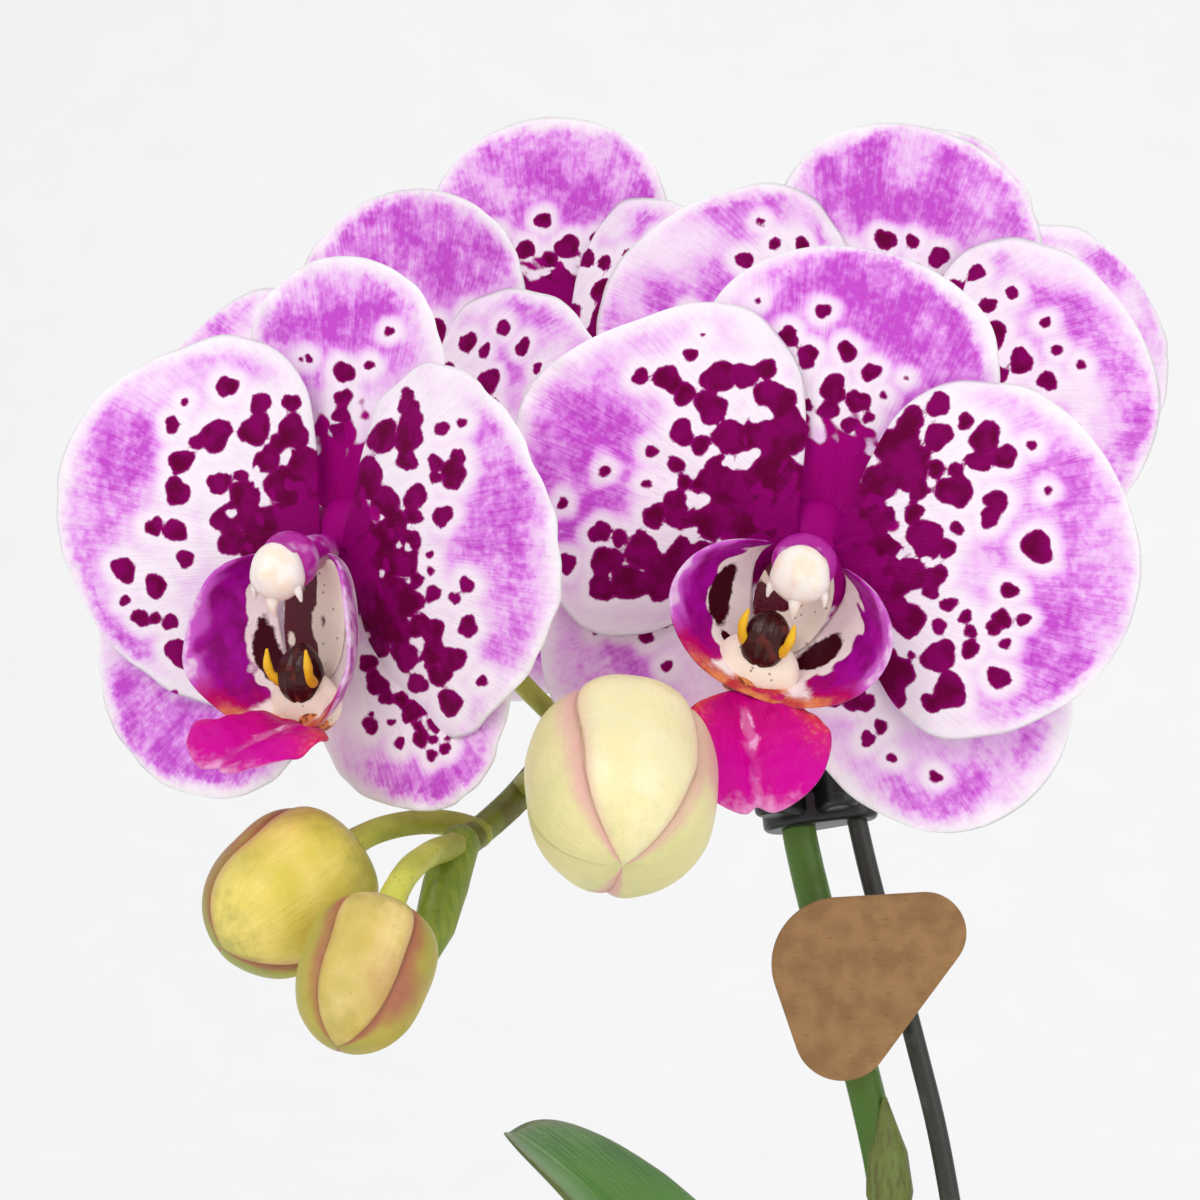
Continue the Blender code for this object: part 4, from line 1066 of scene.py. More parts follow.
@dataclass(frozen=True)
class GlazeFinish:
    """The pot's satin glaze: warm white, finely speckled, rougher on its unglazed foot."""

    glaze: Colour = srgb(232, 228, 220)
    shade: Colour = srgb(216, 210, 199)
    speck: Colour = srgb(158, 146, 130)
    clay: Colour = srgb(190, 170, 148)

    def build(self) -> Material:
        """Lay the nodes of the pot's material.

        Returns:
            The material. It reads the mark foot.
        """
        lay = Paint("pot glaze", Coat_Roughness=0.22)
        drift = lay.mottle(28.0, 0.34, 0.7)
        specks = lay.rise(lay.cells(420.0), 0.1, 0.17, 1.0, 0.0)
        chosen = lay.rise(lay.noise(160.0, 1.0), 0.5, 0.56)
        colour = lay.blend(drift, self.glaze, self.shade)
        colour = lay.blend(lay.product(specks, chosen, 0.75), colour, self.speck)
        bare = lay.rise(lay.mark("foot"), 0.3, 0.7)
        colour = lay.blend(bare, colour, self.clay)
        rough = lay.math("ADD", lay.rise(drift, 0.0, 1.0, 0.3, 0.38), lay.product(bare, 0.4))
        lay.feed(lay.shader.inputs["Coat Weight"], lay.rise(bare, 0.0, 1.0, 0.35, 0.0))
        return lay.dress(colour, rough, lay.noise(120.0, 5.0, 0.6), 0.00015)


@dataclass(frozen=True)
class PlasticFinish:
    """Moulded black plastic with a fine satin texture and dusty scuffs."""

    name: str
    black: Colour
    scuff: Colour
    roughness: float

    def build(self) -> Material:
        """Lay the nodes of the plastic's material.

        Returns:
            The material.
        """
        lay = Paint(self.name)
        scuffs = lay.mottle(240.0, 0.5, 0.75)
        rough = lay.rise(scuffs, 0.0, 1.0, self.roughness, self.roughness + 0.16)
        return lay.dress(
            lay.blend(lay.product(scuffs, 0.6), self.black, self.scuff), rough, lay.pores(3800.0), 0.00006,
        )


@dataclass(frozen=True)
class KraftFinish:
    """Bare kraft board: brown, with short fibres and darker flecks."""

    board: Colour = srgb(170, 130, 84)
    shade: Colour = srgb(150, 112, 70)
    fleck: Colour = srgb(108, 76, 44)

    def build(self) -> Material:
        """Lay the nodes of the board's material.

        Returns:
            The material.
        """
        lay = Paint("kraft board")
        mottle = lay.mottle(300.0, 0.34, 0.68)
        fibre = lay.noise(2600.0, 3.0, 0.6, lay.stretched((0.25, 1.0, 1.0)))
        colour = lay.blend(mottle, self.board, self.shade)
        colour = lay.blend(lay.rise(fibre, 0.6, 0.78, 0.0, 0.6), colour, self.fleck)
        return lay.dress(colour, lay.rise(fibre, 0.3, 0.7, 0.78, 0.92), fibre, 0.0001)


@dataclass(frozen=True)
class StudioFinish:
    """Pale paper of the floor and backdrop, with the faintest grain. It is clear from behind."""

    paper: Colour = srgb(243, 243, 243)
    grain: Colour = srgb(239, 239, 240)

    def build(self) -> Material:
        """Lay the nodes of the paper's material.

        Returns:
            The material.
        """
        lay = Paint("studio paper", Roughness=0.9)
        colour = lay.blend(lay.noise(40.0, 3.0), self.paper, self.grain)
        lay.feed(lay.shader.inputs["Base Color"], colour)
        side = lay.node("NewGeometry", {})
        lay.feed(lay.shader.inputs["Alpha"], lay.math("SUBTRACT", 1.0, side.outputs["Backfacing"]))
        return lay.material


class Finish(Enum):
    """The finishes that the plant's pieces are dressed in."""

    TEPAL = TepalFinish()
    SIDE_LOBES = SideLobeFinish()
    MIDDLE_LOBE = MidLobeFinish()
    CALLUS = CallusFinish()
    COLUMN = ColumnFinish()
    # each bud's last colour is the painted shade in its grooves, also used for its specks
    BUD_LARGE = BudFinish(
        "large bud", srgb(254, 246, 214), srgb(250, 234, 176), srgb(222, 216, 154), srgb(226, 166, 166),
        srgb(180, 136, 100),
    )
    BUD_MIDDLE = BudFinish(
        "middle bud", srgb(248, 224, 128), srgb(216, 198, 66), srgb(150, 156, 56), srgb(168, 92, 76),
        srgb(130, 88, 50),
    )
    BUD_SMALL = BudFinish(
        "small bud", srgb(240, 214, 146), srgb(214, 186, 92), srgb(170, 162, 62), srgb(172, 92, 82),
        srgb(128, 72, 50),
    )
    STEM = StemFinish()
    LEAF = LeafFinish()
    ROOT = RootFinish()
    BARK = BarkFinish()
    GLAZE = GlazeFinish()
    STAKE = PlasticFinish("stake plastic", srgb(46, 48, 42), srgb(92, 94, 84), 0.42)
    CLIP = PlasticFinish("clip plastic", srgb(17, 18, 18), srgb(52, 54, 54), 0.34)
    KRAFT = KraftFinish()
    STUDIO = StudioFinish()

    @cache
    def material(self) -> Material:
        """Return the finish's material, built on its first use."""
        return self.value.build()


TEPAL_START = 1.6
TEPAL_HALF_THICKNESS = 0.39
SPOT_SWELL = 1.03
SPOT_BLUR = 0.07
VIEW_RIGHT = np.array((1.0, 0.0, 0.0))
VIEW_UP = np.array((0.0, math.sin(math.radians(4)), math.cos(math.radians(4))))

Spots = tuple[Point, ...]


class Part(Enum):
    """The five tepals of a bloom."""

    PETAL_LEFT = "petal_left"
    PETAL_RIGHT = "petal_right"
    SEPAL_TOP = "sepal_top"
    SEPAL_LEFT = "sepal_left"
    SEPAL_RIGHT = "sepal_right"


@dataclass(frozen=True)
class Markings:
    """What is painted on one tepal, placed as seen from the front: right, up and radius."""

    spots: Spots = ()
    gaps: Spots = ()
    wash: tuple[tuple[float, float, float, float], ...] = ()


@dataclass(frozen=True)
class Tepal:
    """One sepal or petal, with the same form as its solid.

    angle is clockwise from straight up, claw is how soon the base widens, taper how much wider the
    base half is than the tip half, pinch how far the outline is drawn in towards its ends, bend the
    forward tilt in degrees, cross and reflex how far the sides and the tip curl back or forward,
    depth the layer it starts in, and skew how far its tip is swept to its own right.
    """

    angle: float
    length: float
    half_width: float
    claw: float
    taper: float
    pinch: float
    bend: float
    cross: float
    reflex: float
    depth: float
    skew: float = 0.0

    def chart(self, p: Array, q: Array) -> tuple[Array, Array, Array]:
        """Return how far along, how far out and how far aside each place of the unit disc lies.

        Along runs from 0 at the base to 1 at the tip. The half width is the widest one times
        1 - exp(-(along / claw)^1.3), drawn in by taper and pinch, with two small waves in its edge.

        Args:
            p: places along the unit disc.
            q: places across the unit disc.

        Returns:
            The three numbers, each on the same grid.
        """
        along = (p + 1) / 2
        widening = 1 - np.exp(-(np.maximum(along, 0) / self.claw) ** 1.3)
        fullness = (1 + self.taper * (0.45 - along)) * (1 - self.pinch * p * p)
        turn = self.angle + 2 * np.sign(q)
        fullness = fullness * (
            1 + 0.012 * np.sin(13 * along + turn) + 0.006 * np.sin(29 * along + 3 * turn)
        )
        width = q * self.half_width * widening * fullness + self.skew * along**4
        return along, TEPAL_START + along * (self.length - TEPAL_START), width

    def middle(self, p: Array, q: Array, wave: float, phase: float) -> Array:
        """Work out the tepal's middle surface in its bloom's own millimetres.

        The lift over the tepal's plane is cross q^2 + reflex along^2, plus a three-fold wave that
        grows with the fourth power of the distance from the middle, a shallow groove along the
        midrib and a fine ripple near the rim. The plane leans forward by the bend.

        Args:
            p: places along the unit disc, from -1 at the base to 1 at the tip.
            q: places across the unit disc.
            wave: the height of the three-fold wave.
            phase: where that wave starts, in radians.

        Returns:
            The points, on a new last axis.
        """
        along, reach, width = self.chart(p, q)
        edge = p * p + q * q
        lift = self.cross * q * q + self.reflex * along * along
        turn = np.arctan2(q, p)
        lift = lift + wave * edge * edge * np.sin(3 * turn + phase)
        lift = lift - 0.35 * np.exp(-((width / 1.1) ** 2)) * ease(along, 0.05, 0.25) * (1 - along) ** 0.5
        lift = lift + 0.22 * edge**4 * np.sin(11 * turn + 2 * phase)
        lift = lift + 0.12 * edge**5 * np.sin(23 * turn + phase)
        angle, lean = math.radians(self.angle), math.radians(self.bend)
        axis = np.array((math.sin(angle), math.cos(angle), 0.0))
        side = np.array((math.cos(angle), -math.sin(angle), 0.0))
        flat = reach * math.cos(lean) - lift * math.sin(lean)
        height = self.depth + reach * math.sin(lean) + lift * math.cos(lean)
        out = np.array((0.0, 0.0, 1.0))
        return flat[..., None] * axis + width[..., None] * side + height[..., None] * out


TEPALS = {
    Part.PETAL_LEFT: Tepal(-78.0, 37.0, 21.0, 0.10, 0.20, 0.15, 12.0, -2.0, -2.5, -0.8),
    Part.PETAL_RIGHT: Tepal(81.0, 37.0, 21.0, 0.10, 0.20, 0.15, 12.0, -2.0, -2.5, -0.8),
    Part.SEPAL_TOP: Tepal(0.0, 35.5, 17.0, 0.20, -0.10, -0.05, -1.0, 1.5, 0.5, -2.6),
    Part.SEPAL_LEFT: Tepal(-133.0, 36.0, 15.5, 0.18, 0.05, 0.0, 2.0, 1.0, -1.5, -2.6),
    Part.SEPAL_RIGHT: Tepal(133.0, 36.0, 15.5, 0.18, 0.05, 0.0, 2.0, 1.0, -1.5, -2.6),
}

FRONT_MARKINGS = {
    ("bloom_1", Part.PETAL_LEFT): Markings((
        (-12.8, 24.9, 0.3), (-14.2, 22.6, 0.8), (-20.0, 20.1, 1.0), (-16.8, 19.8, 1.6), (-14.9, 18.1, 1.3),
        (-11.0, 20.0, 1.9), (-8.0, 20.2, 1.6), (-5.6, 20.9, 1.3), (-11.9, 16.5, 1.9), (-15.2, 13.6, 1.5),
        (-13.1, 12.2, 1.2), (-18.7, 11.5, 0.7), (-15.9, 10.0, 1.0), (-19.3, 7.7, 0.6), (-24.1, 9.2, 0.7),
        (-24.7, 2.2, 1.3), (-22.4, 1.5, 1.0), (-20.0, 2.0, 0.6), (-24.0, -1.2, 1.8), (-19.6, -0.2, 2.1),
        (-4.5, 17.4, 2.3), (-3.1, 13.7, 2.8), (-6.3, 13.4, 2.1), (-9.6, 12.9, 2.1), (-4.0, 8.1, 3.7),
        (-7.3, 6.3, 3.7), (-10.5, 8.1, 2.6), (-12.4, 7.9, 1.6), (-14.9, 7.9, 1.0), (-16.1, 5.8, 1.3),
        (-18.4, 4.0, 1.4), (-15.6, 4.0, 1.6), (-12.4, 3.4, 2.1), (-8.7, 3.5, 2.6), (-14.7, -0.2, 2.1),
        (-17.0, -3.0, 2.6), (-21.2, -3.7, 2.2), (-24.5, -4.2, 1.6), (-12.0, -1.0, 2.4), (-29.0, 5.5, 0.7),
        (-28.5, -1.5, 1.1),
    ), gaps=(
        (-6.0, 15.7, 1.0), (-7.6, 10.6, 1.1), (-9.6, 10.2, 0.8), (-12.8, 5.7, 0.8), (-14.1, 1.9, 0.8),
    ), wash=(
        (-23.0, 15.6, 5.0, 0.8), (-23.0, 6.3, 4.0, 0.8), (-28.0, 12.8, 6.0, 0.9), (-15.2, 26.3, 4.0, 0.3),
        (-28.6, 1.2, 5.0, 0.8), (-31.0, 8.0, 5.0, 0.8),
    )),
    ("bloom_1", Part.SEPAL_TOP): Markings((
        (-6.3, 29.0, 0.4), (1.3, 27.8, 0.9), (-2.7, 24.9, 1.2), (-0.5, 22.6, 1.3), (4.1, 23.1, 1.2),
        (6.9, 20.7, 1.1), (10.9, 20.0, 0.3), (8.3, 18.0, 0.5), (2.5, 18.8, 1.6), (5.4, 17.3, 1.4),
        (-0.5, 16.9, 0.7), (2.0, 16.4, 1.2), (4.4, 14.6, 1.0), (-2.0, 19.5, 0.6), (6.6, 15.4, 0.7),
    ), gaps=(
        (3.5, 12.4, 0.8), (3.3, 13.6, 0.5),
    ), wash=(
        (11.3, 25.3, 8.0, 1.25), (3.0, 30.5, 6.5, 1.0), (-5.9, 26.7, 3.5, 0.6), (16.0, 20.7, 4.5, 0.8),
        (8.0, 31.0, 6.0, 0.9),
    )),
    ("bloom_1", Part.PETAL_RIGHT): Markings((
        (14.4, 16.7, 1.4), (11.3, 15.1, 1.5), (17.5, 14.7, 1.0), (14.4, 13.0, 1.6), (19.7, 12.8, 1.8),
        (19.0, 10.2, 1.4), (21.8, 10.6, 1.4), (16.2, 6.7, 2.0), (11.6, 4.2, 1.2), (20.9, 5.6, 1.3),
        (20.2, 3.7, 1.2), (16.5, 2.5, 0.8), (13.0, 1.2, 2.2), (25.5, 0.3, 1.8), (24.9, 11.9, 0.6),
        (26.7, 6.7, 0.5), (22.4, -4.7, 1.0), (21.6, -7.9, 1.1), (20.7, -9.0, 0.9), (24.0, -8.0, 0.8),
        (22.0, -10.8, 0.7), (18.1, -9.4, 0.8), (14.6, -8.8, 0.9), (14.6, -12.3, 1.9), (18.1, -11.4, 1.1),
        (11.5, -12.2, 0.5), (21.3, -14.7, 1.3), (15.8, -16.3, 2.0), (13.9, -17.7, 1.2), (10.9, -7.9, 2.1),
        (10.0, -14.2, 1.9), (9.5, -16.5, 1.7), (13.5, -4.8, 1.0), (15.5, -6.3, 0.9), (17.5, -7.7, 0.8),
        (9.5, 11.9, 2.5), (10.9, 8.9, 2.4), (8.1, 8.1, 2.3), (6.7, 4.0, 2.8), (12.3, 6.9, 1.3),
        (3.9, 1.6, 2.8), (6.7, -0.7, 3.3), (10.4, -3.0, 2.5), (14.1, -3.0, 1.3), (8.6, -5.8, 2.3),
        (8.6, -13.3, 2.3), (7.6, -15.6, 1.4), (14.1, 9.3, 1.1), (12.6, 10.9, 1.1), (16.4, 9.0, 1.0),
        (15.4, 0.2, 1.1), (16.4, -6.0, 0.4), (7.4, -9.6, 2.0), (10.8, 13.4, 1.5),
    ), gaps=(
        (9.3, 5.5, 0.7), (10.4, -0.5, 0.6), (13.2, -1.2, 0.5), (13.6, 7.6, 0.4), (9.4, -10.6, 0.5),
    ), wash=(
        (18.8, -0.2, 4.0, 0.6), (26.7, -8.6, 6.5, 1.0), (29.0, 7.2, 5.5, 0.9), (24.8, 9.5, 4.0, 0.6),
        (23.4, -17.4, 5.0, 0.7), (20.2, 17.4, 2.5, 0.5), (31.0, -2.0, 5.0, 0.5), (28.5, -14.0, 4.0, 0.7),
    )),
    ("bloom_1", Part.SEPAL_RIGHT): Markings((
        (2.3, -17.4, 1.0), (4.8, -17.0, 1.6), (8.1, -20.6, 0.85), (6.6, -22.0, 0.9), (9.4, -24.2, 0.6),
        (14.5, -26.4, 0.8), (6.3, -17.8, 1.1), (3.4, -15.6, 1.3),
    ), wash=(
        (6.7, -24.4, 3.0, 0.6), (13.7, -29.5, 5.0, 0.9), (20.7, -24.4, 5.5, 0.8), (3.9, -19.8, 2.2, 0.4),
        (25.0, -20.0, 4.0, 0.5),
    )),
    ("bloom_1", Part.SEPAL_LEFT): Markings((
        (-22.4, -9.3, 0.7), (-20.7, -8.8, 0.9), (-19.3, -10.0, 0.9), (-20.3, -7.2, 1.3), (-18.0, -7.9, 1.4),
        (-16.8, -13.6, 0.7), (-16.0, -7.0, 1.5), (-25.2, -9.4, 0.5), (-18.6, -5.8, 1.4), (-22.6, -6.8, 0.9),
    ), gaps=(
        (-18.6, -9.0, 0.4), (-16.9, -6.0, 0.5),
    ), wash=(
        (-23.0, -13.3, 4.0, 0.9), (-19.0, -17.0, 4.5, 0.8), (-27.0, -9.5, 3.0, 0.4),
    )),
    ("bloom_2", Part.PETAL_LEFT): Markings((
        (-12.4, 19.0, 1.3), (-17.6, 17.3, 0.5), (-19.1, 14.6, 1.0), (-4.6, 17.0, 1.1), (-8.4, 16.9, 1.3),
        (-9.0, 13.9, 1.9), (-13.7, 13.3, 1.9), (-16.0, 12.6, 1.0), (-18.0, 10.3, 1.5), (-18.5, 6.8, 1.6),
        (-21.4, 2.7, 1.1), (-18.8, 2.2, 1.4), (-17.6, -1.1, 1.1), (-25.2, -2.4, 1.5), (-21.3, -4.3, 1.4),
        (-25.2, -6.1, 0.7), (-23.3, -8.1, 1.1), (-21.5, -8.2, 0.8), (-19.6, -8.6, 1.0), (-18.6, -12.3, 1.7),
        (-19.5, -17.3, 0.6), (-13.4, 7.7, 1.4), (-4.4, 13.6, 1.9), (-7.6, 10.4, 1.6), (-5.4, 7.2, 2.4),
        (-10.2, 6.0, 2.0), (-12.6, 3.6, 1.8), (-5.1, 2.4, 3.0), (-3.2, 10.2, 1.8), (-8.8, 3.0, 2.2),
        (-10.6, 8.4, 0.9), (-6.0, 12.4, 1.2), (-3.0, 5.5, 2.4), (-8.4, 0.0, 2.4), (-12.0, 0.8, 1.6),
        (-5.0, -1.0, 3.0),
    ), gaps=(
        (-5.3, 10.6, 0.55), (-8.7, 7.6, 0.45), (-8.0, 5.6, 0.45), (-11.9, 4.2, 0.55), (-8.9, 9.2, 0.4),
    ), wash=(
        (-25.0, 14.2, 5.0, 1.1), (-26.3, 8.9, 4.0, 1.0), (-29.4, 2.7, 4.5, 0.7), (-28.6, -6.2, 4.0, 0.7),
        (-25.0, -12.4, 4.5, 0.9), (-16.1, 21.7, 4.0, 0.45), (-8.6, 21.7, 3.0, 0.45),
    )),
    ("bloom_2", Part.SEPAL_TOP): Markings((
        (1.6, 20.6, 1.3), (1.5, 17.6, 1.1), (1.3, 15.6, 1.1), (0.9, 13.6, 1.1), (-2.7, 22.3, 0.5),
        (7.1, 25.1, 0.6), (4.7, 21.3, 0.6), (-3.6, 22.2, 0.3),
    ), wash=(
        (1.6, 26.5, 6.5, 1.1), (4.7, 22.5, 3.0, 0.6), (-5.2, 25.0, 4.0, 0.9), (7.0, 27.5, 4.0, 0.8),
    )),
    ("bloom_2", Part.PETAL_RIGHT): Markings((
        (9.4, 17.6, 0.8), (9.5, 16.2, 1.2), (6.5, 12.7, 1.9), (9.6, 12.6, 1.8), (10.0, 14.6, 1.3),
        (13.6, 13.4, 0.9), (15.9, 14.0, 0.6), (12.9, 9.5, 1.0), (14.9, 8.2, 1.6), (10.5, 5.8, 1.4),
        (13.7, 3.5, 1.2), (12.2, -0.9, 0.5), (12.2, -2.7, 0.5), (16.5, -4.3, 0.9), (15.1, -5.8, 0.7),
        (12.5, -5.3, 1.0), (16.6, -9.0, 1.2), (12.5, -9.8, 1.5), (14.7, -12.8, 1.6), (18.2, -15.2, 0.7),
        (14.4, -17.7, 1.5), (9.1, -12.4, 1.7), (9.4, 10.0, 1.3), (4.4, 8.0, 2.2), (7.2, 2.4, 2.3),
        (8.9, -1.6, 1.9), (5.5, -1.5, 3.2), (6.2, 5.4, 2.0), (3.4, 4.2, 2.6), (8.0, -5.6, 2.2),
        (5.6, -7.0, 2.4), (8.0, -9.2, 2.0), (10.6, -3.8, 0.9), (13.2, -14.6, 1.4), (9.9, 0.8, 1.3),
        (6.0, -11.0, 1.6), (5.5, 18.0, 0.3), (15.4, 10.0, 1.0), (12.9, 7.9, 0.8), (10.6, -15.6, 1.2),
        (9.6, -6.4, 1.7), (11.0, -9.0, 1.5), (12.5, -12.2, 1.6), (10.2, 3.6, 1.1),
    ), gaps=(
        (5.7, 3.6, 0.7), (4.7, 5.1, 0.4), (9.6, 0.0, 0.4), (6.4, -3.0, 0.35), (11.0, -13.6, 0.5),
    ), wash=(
        (19.8, 4.4, 5.0, 1.0), (17.1, 0.6, 3.0, 0.9), (22.0, -2.2, 4.5, 0.8), (21.1, -9.8, 4.0, 0.9),
        (18.9, 13.3, 3.0, 0.5), (18.0, -18.6, 3.0, 0.6), (8.2, 21.0, 2.5, 0.5), (21.0, 9.0, 3.0, 0.6),
    )),
    ("bloom_2", Part.SEPAL_RIGHT): Markings((
        (4.9, -20.6, 1.0), (4.9, -19.4, 0.4), (7.4, -20.2, 0.5), (8.4, -22.6, 0.7), (5.8, -16.0, 1.3),
        (6.8, -17.4, 0.9), (8.6, -17.6, 1.0), (9.9, -19.0, 1.3), (10.9, -22.0, 1.0), (12.5, -20.4, 0.9),
        (12.2, -23.9, 0.7), (13.8, -23.1, 0.7), (11.6, -18.6, 0.7), (10.6, -20.6, 0.7), (4.6, -13.4, 1.1),
        (5.2, -15.0, 0.9), (12.3, -22.1, 0.6), (14.1, -21.9, 0.4),
    ), wash=(
        (9.1, -27.0, 4.0, 1.0), (15.8, -25.7, 4.5, 1.0), (12.7, -30.2, 3.5, 1.1), (21.6, -17.7, 3.5, 0.9),
        (23.3, -12.0, 3.0, 0.6), (4.6, -24.0, 2.5, 0.4),
    )),
    ("bloom_2", Part.SEPAL_LEFT): Markings(wash=(
        (-25.0, -22.2, 6.0, 1.2), (-17.5, -25.7, 6.5, 1.2), (-27.2, -17.7, 4.0, 0.9),
        (-12.0, -24.0, 4.0, 0.9),
    )),
}


def smooth_union(values: Array, blur: float) -> Array:
    """Return the smooth maximum over the last axis: blur times the log of the sum of exp(value / blur)."""
    top = values.max(axis=-1)
    return top + blur * np.log(np.exp((values - top[..., None]) / blur).sum(axis=-1))


def disc_field(seen: Array, discs: Spots | Array, draw: np.random.Generator,
               lobed: float) -> Array:
    """Return how far inside the nearest of several lobed discs each place lies, in millimetres.

    A disc's edge is its radius swollen a little, times 1 plus waves of two, three and five periods.

    Args:
        seen: places as right and up, on the last axis.
        discs: each disc's right, up and radius.
        draw: gives each disc's waves.
        lobed: how strong the waves are.

    Returns:
        Positive inside a disc and negative outside.
    """
    table = np.array(discs, float)
    offset = seen[..., None, :] - table[:, :2]
    angle = np.arctan2(offset[..., 1], offset[..., 0])
    edge = 1.0
    for periods, share in ((2, 0.8), (3, 0.7), (5, 0.3)):
        edge = edge + lobed * share * np.sin(periods * angle + draw.uniform(0, TAU, len(table)))
    return smooth_union(table[:, 2] * edge * SPOT_SWELL - np.linalg.norm(offset, axis=-1), SPOT_BLUR)


def scattered_spots(tepal: Tepal, petal: bool, draw: np.random.Generator) -> Array:
    """Scatter spots over a tepal that the front markings don't draw.

    They stand close near the throat and thin out towards the rim. A spot is kept where it clears
    the others by a small gap, or merges where it lies near the throat.

    Args:
        tepal: the tepal's form.
        petal: whether it is a petal, which is spotted further out than a sepal.
        draw: the seeded source of chance.

    Returns:
        The spots as aside, out and radius in the tepal's own plane.
    """
    limit = 0.74 if petal else 0.6
    kept: list[Point] = []
    for _ in range(260):
        along = draw.uniform(0.2, limit)
        share = draw.uniform(-0.82, 0.82) * (1.0 if petal else 0.7)
        width = share * tepal.half_width * (1 - math.exp(-(along / tepal.claw) ** 1.3))
        reach = TEPAL_START + along * (tepal.length - TEPAL_START)
        far = math.hypot(width, reach)
        radius = draw.uniform(0.75, 1.25) * float(np.interp(far, (9, 14, 22, 30), (2.3, 1.7, 1.1, 0.6)))
        if far < 7 or far > tepal.length * limit or draw.uniform() < (far - 15) / 26:
            continue
        gap = float(np.interp(far, (10, 15, 24), (-1.3, -0.2, 1.6)))
        if all(math.hypot(width - x, reach - y) > radius + r + gap for x, y, r in kept):
            kept.append((width, reach, radius))
    return np.array(kept)


@dataclass(frozen=True)
class Lip:
    """How a bloom's lip hangs.

    Its middle lobe points below straight ahead (droop) and to the right (swing), folded and twisted,
    in degrees, from its base. The whole lip is rolled clockwise in degrees and dropped. Each ear has
    a dark marking, partly real and partly painted shade inside the cup, placed along it and up it,
    and violet from a third place upwards, and its rim stands out from the middle by a share of the
    usual reach.
    """

    droop: float = 45.0
    swing: float = 0.0
    fold: float = 18.0
    twist: float = 0.0
    length: float = 15.0
    base: tuple[float, float] = (0.0, -17.2)
    roll: float = 0.0
    drop: float = 0.0
    callus: float = 0.0
    left_ear: Point = (0.5, 0.12, 0.3)
    right_ear: Point = (0.5, 0.12, 0.3)
    spread: tuple[float, float] = (1.0, 1.0)


LIP_RIM = ((-0.8, -17.4), (15.0, -17.9), (18.0, -1.9), (5.0, 0.2))
LIP_SEAT = ((-0.8, -12.6), (4.6, -12.8), (5.8, -4.1), (3.0, -1.1))
LIP_SEAT_HEIGHT = 3.6
LIP_RIM_HEIGHT = 9.0
LIP_RIM_RISE = 2.6
MIDDLE_LOBE_HALF_WIDTH = 9.0
MIDDLE_LOBE_SEAT = 8.2
PEDICEL_SEAT = -6.8


def unit_grid(rows: int, columns: int) -> tuple[Array, Array]:
    """Return grids of u along and v across, each from -1 to 1."""
    return np.meshgrid(np.linspace(-1, 1, rows), np.linspace(-1, 1, columns), indexing="ij")


def disc_grid(rows: int, columns: int, square_base: bool = False) -> tuple[Array, Array]:
    """Spread a grid over the unit disc.

    p = u sqrt(1 - v^2 / 2) and q = v sqrt(1 - u^2 / 2) for u and v from -1 to 1. With a square
    base, p = u and q = v for the half with u below 0.

    Args:
        rows: grid lines along.
        columns: grid lines across.
        square_base: whether the base half stays square.

    Returns:
        The places along and across.
    """
    u, v = unit_grid(rows, columns)
    p, q = u * np.sqrt(1 - v * v / 2), v * np.sqrt(1 - u * u / 2)
    if square_base:
        p, q = np.where(u < 0, u, p), np.where(u < 0, v, q)
    return p, q


def blade_half(rows: int, columns: int, half: float) -> Array:
    """Return a blade's half thickness: half times sqrt(1 - m^6), m the greater of |u| and |v|."""
    u, v = unit_grid(rows, columns)
    return half * np.sqrt(np.maximum(1 - np.maximum(np.abs(u), np.abs(v)) ** 6, 0))


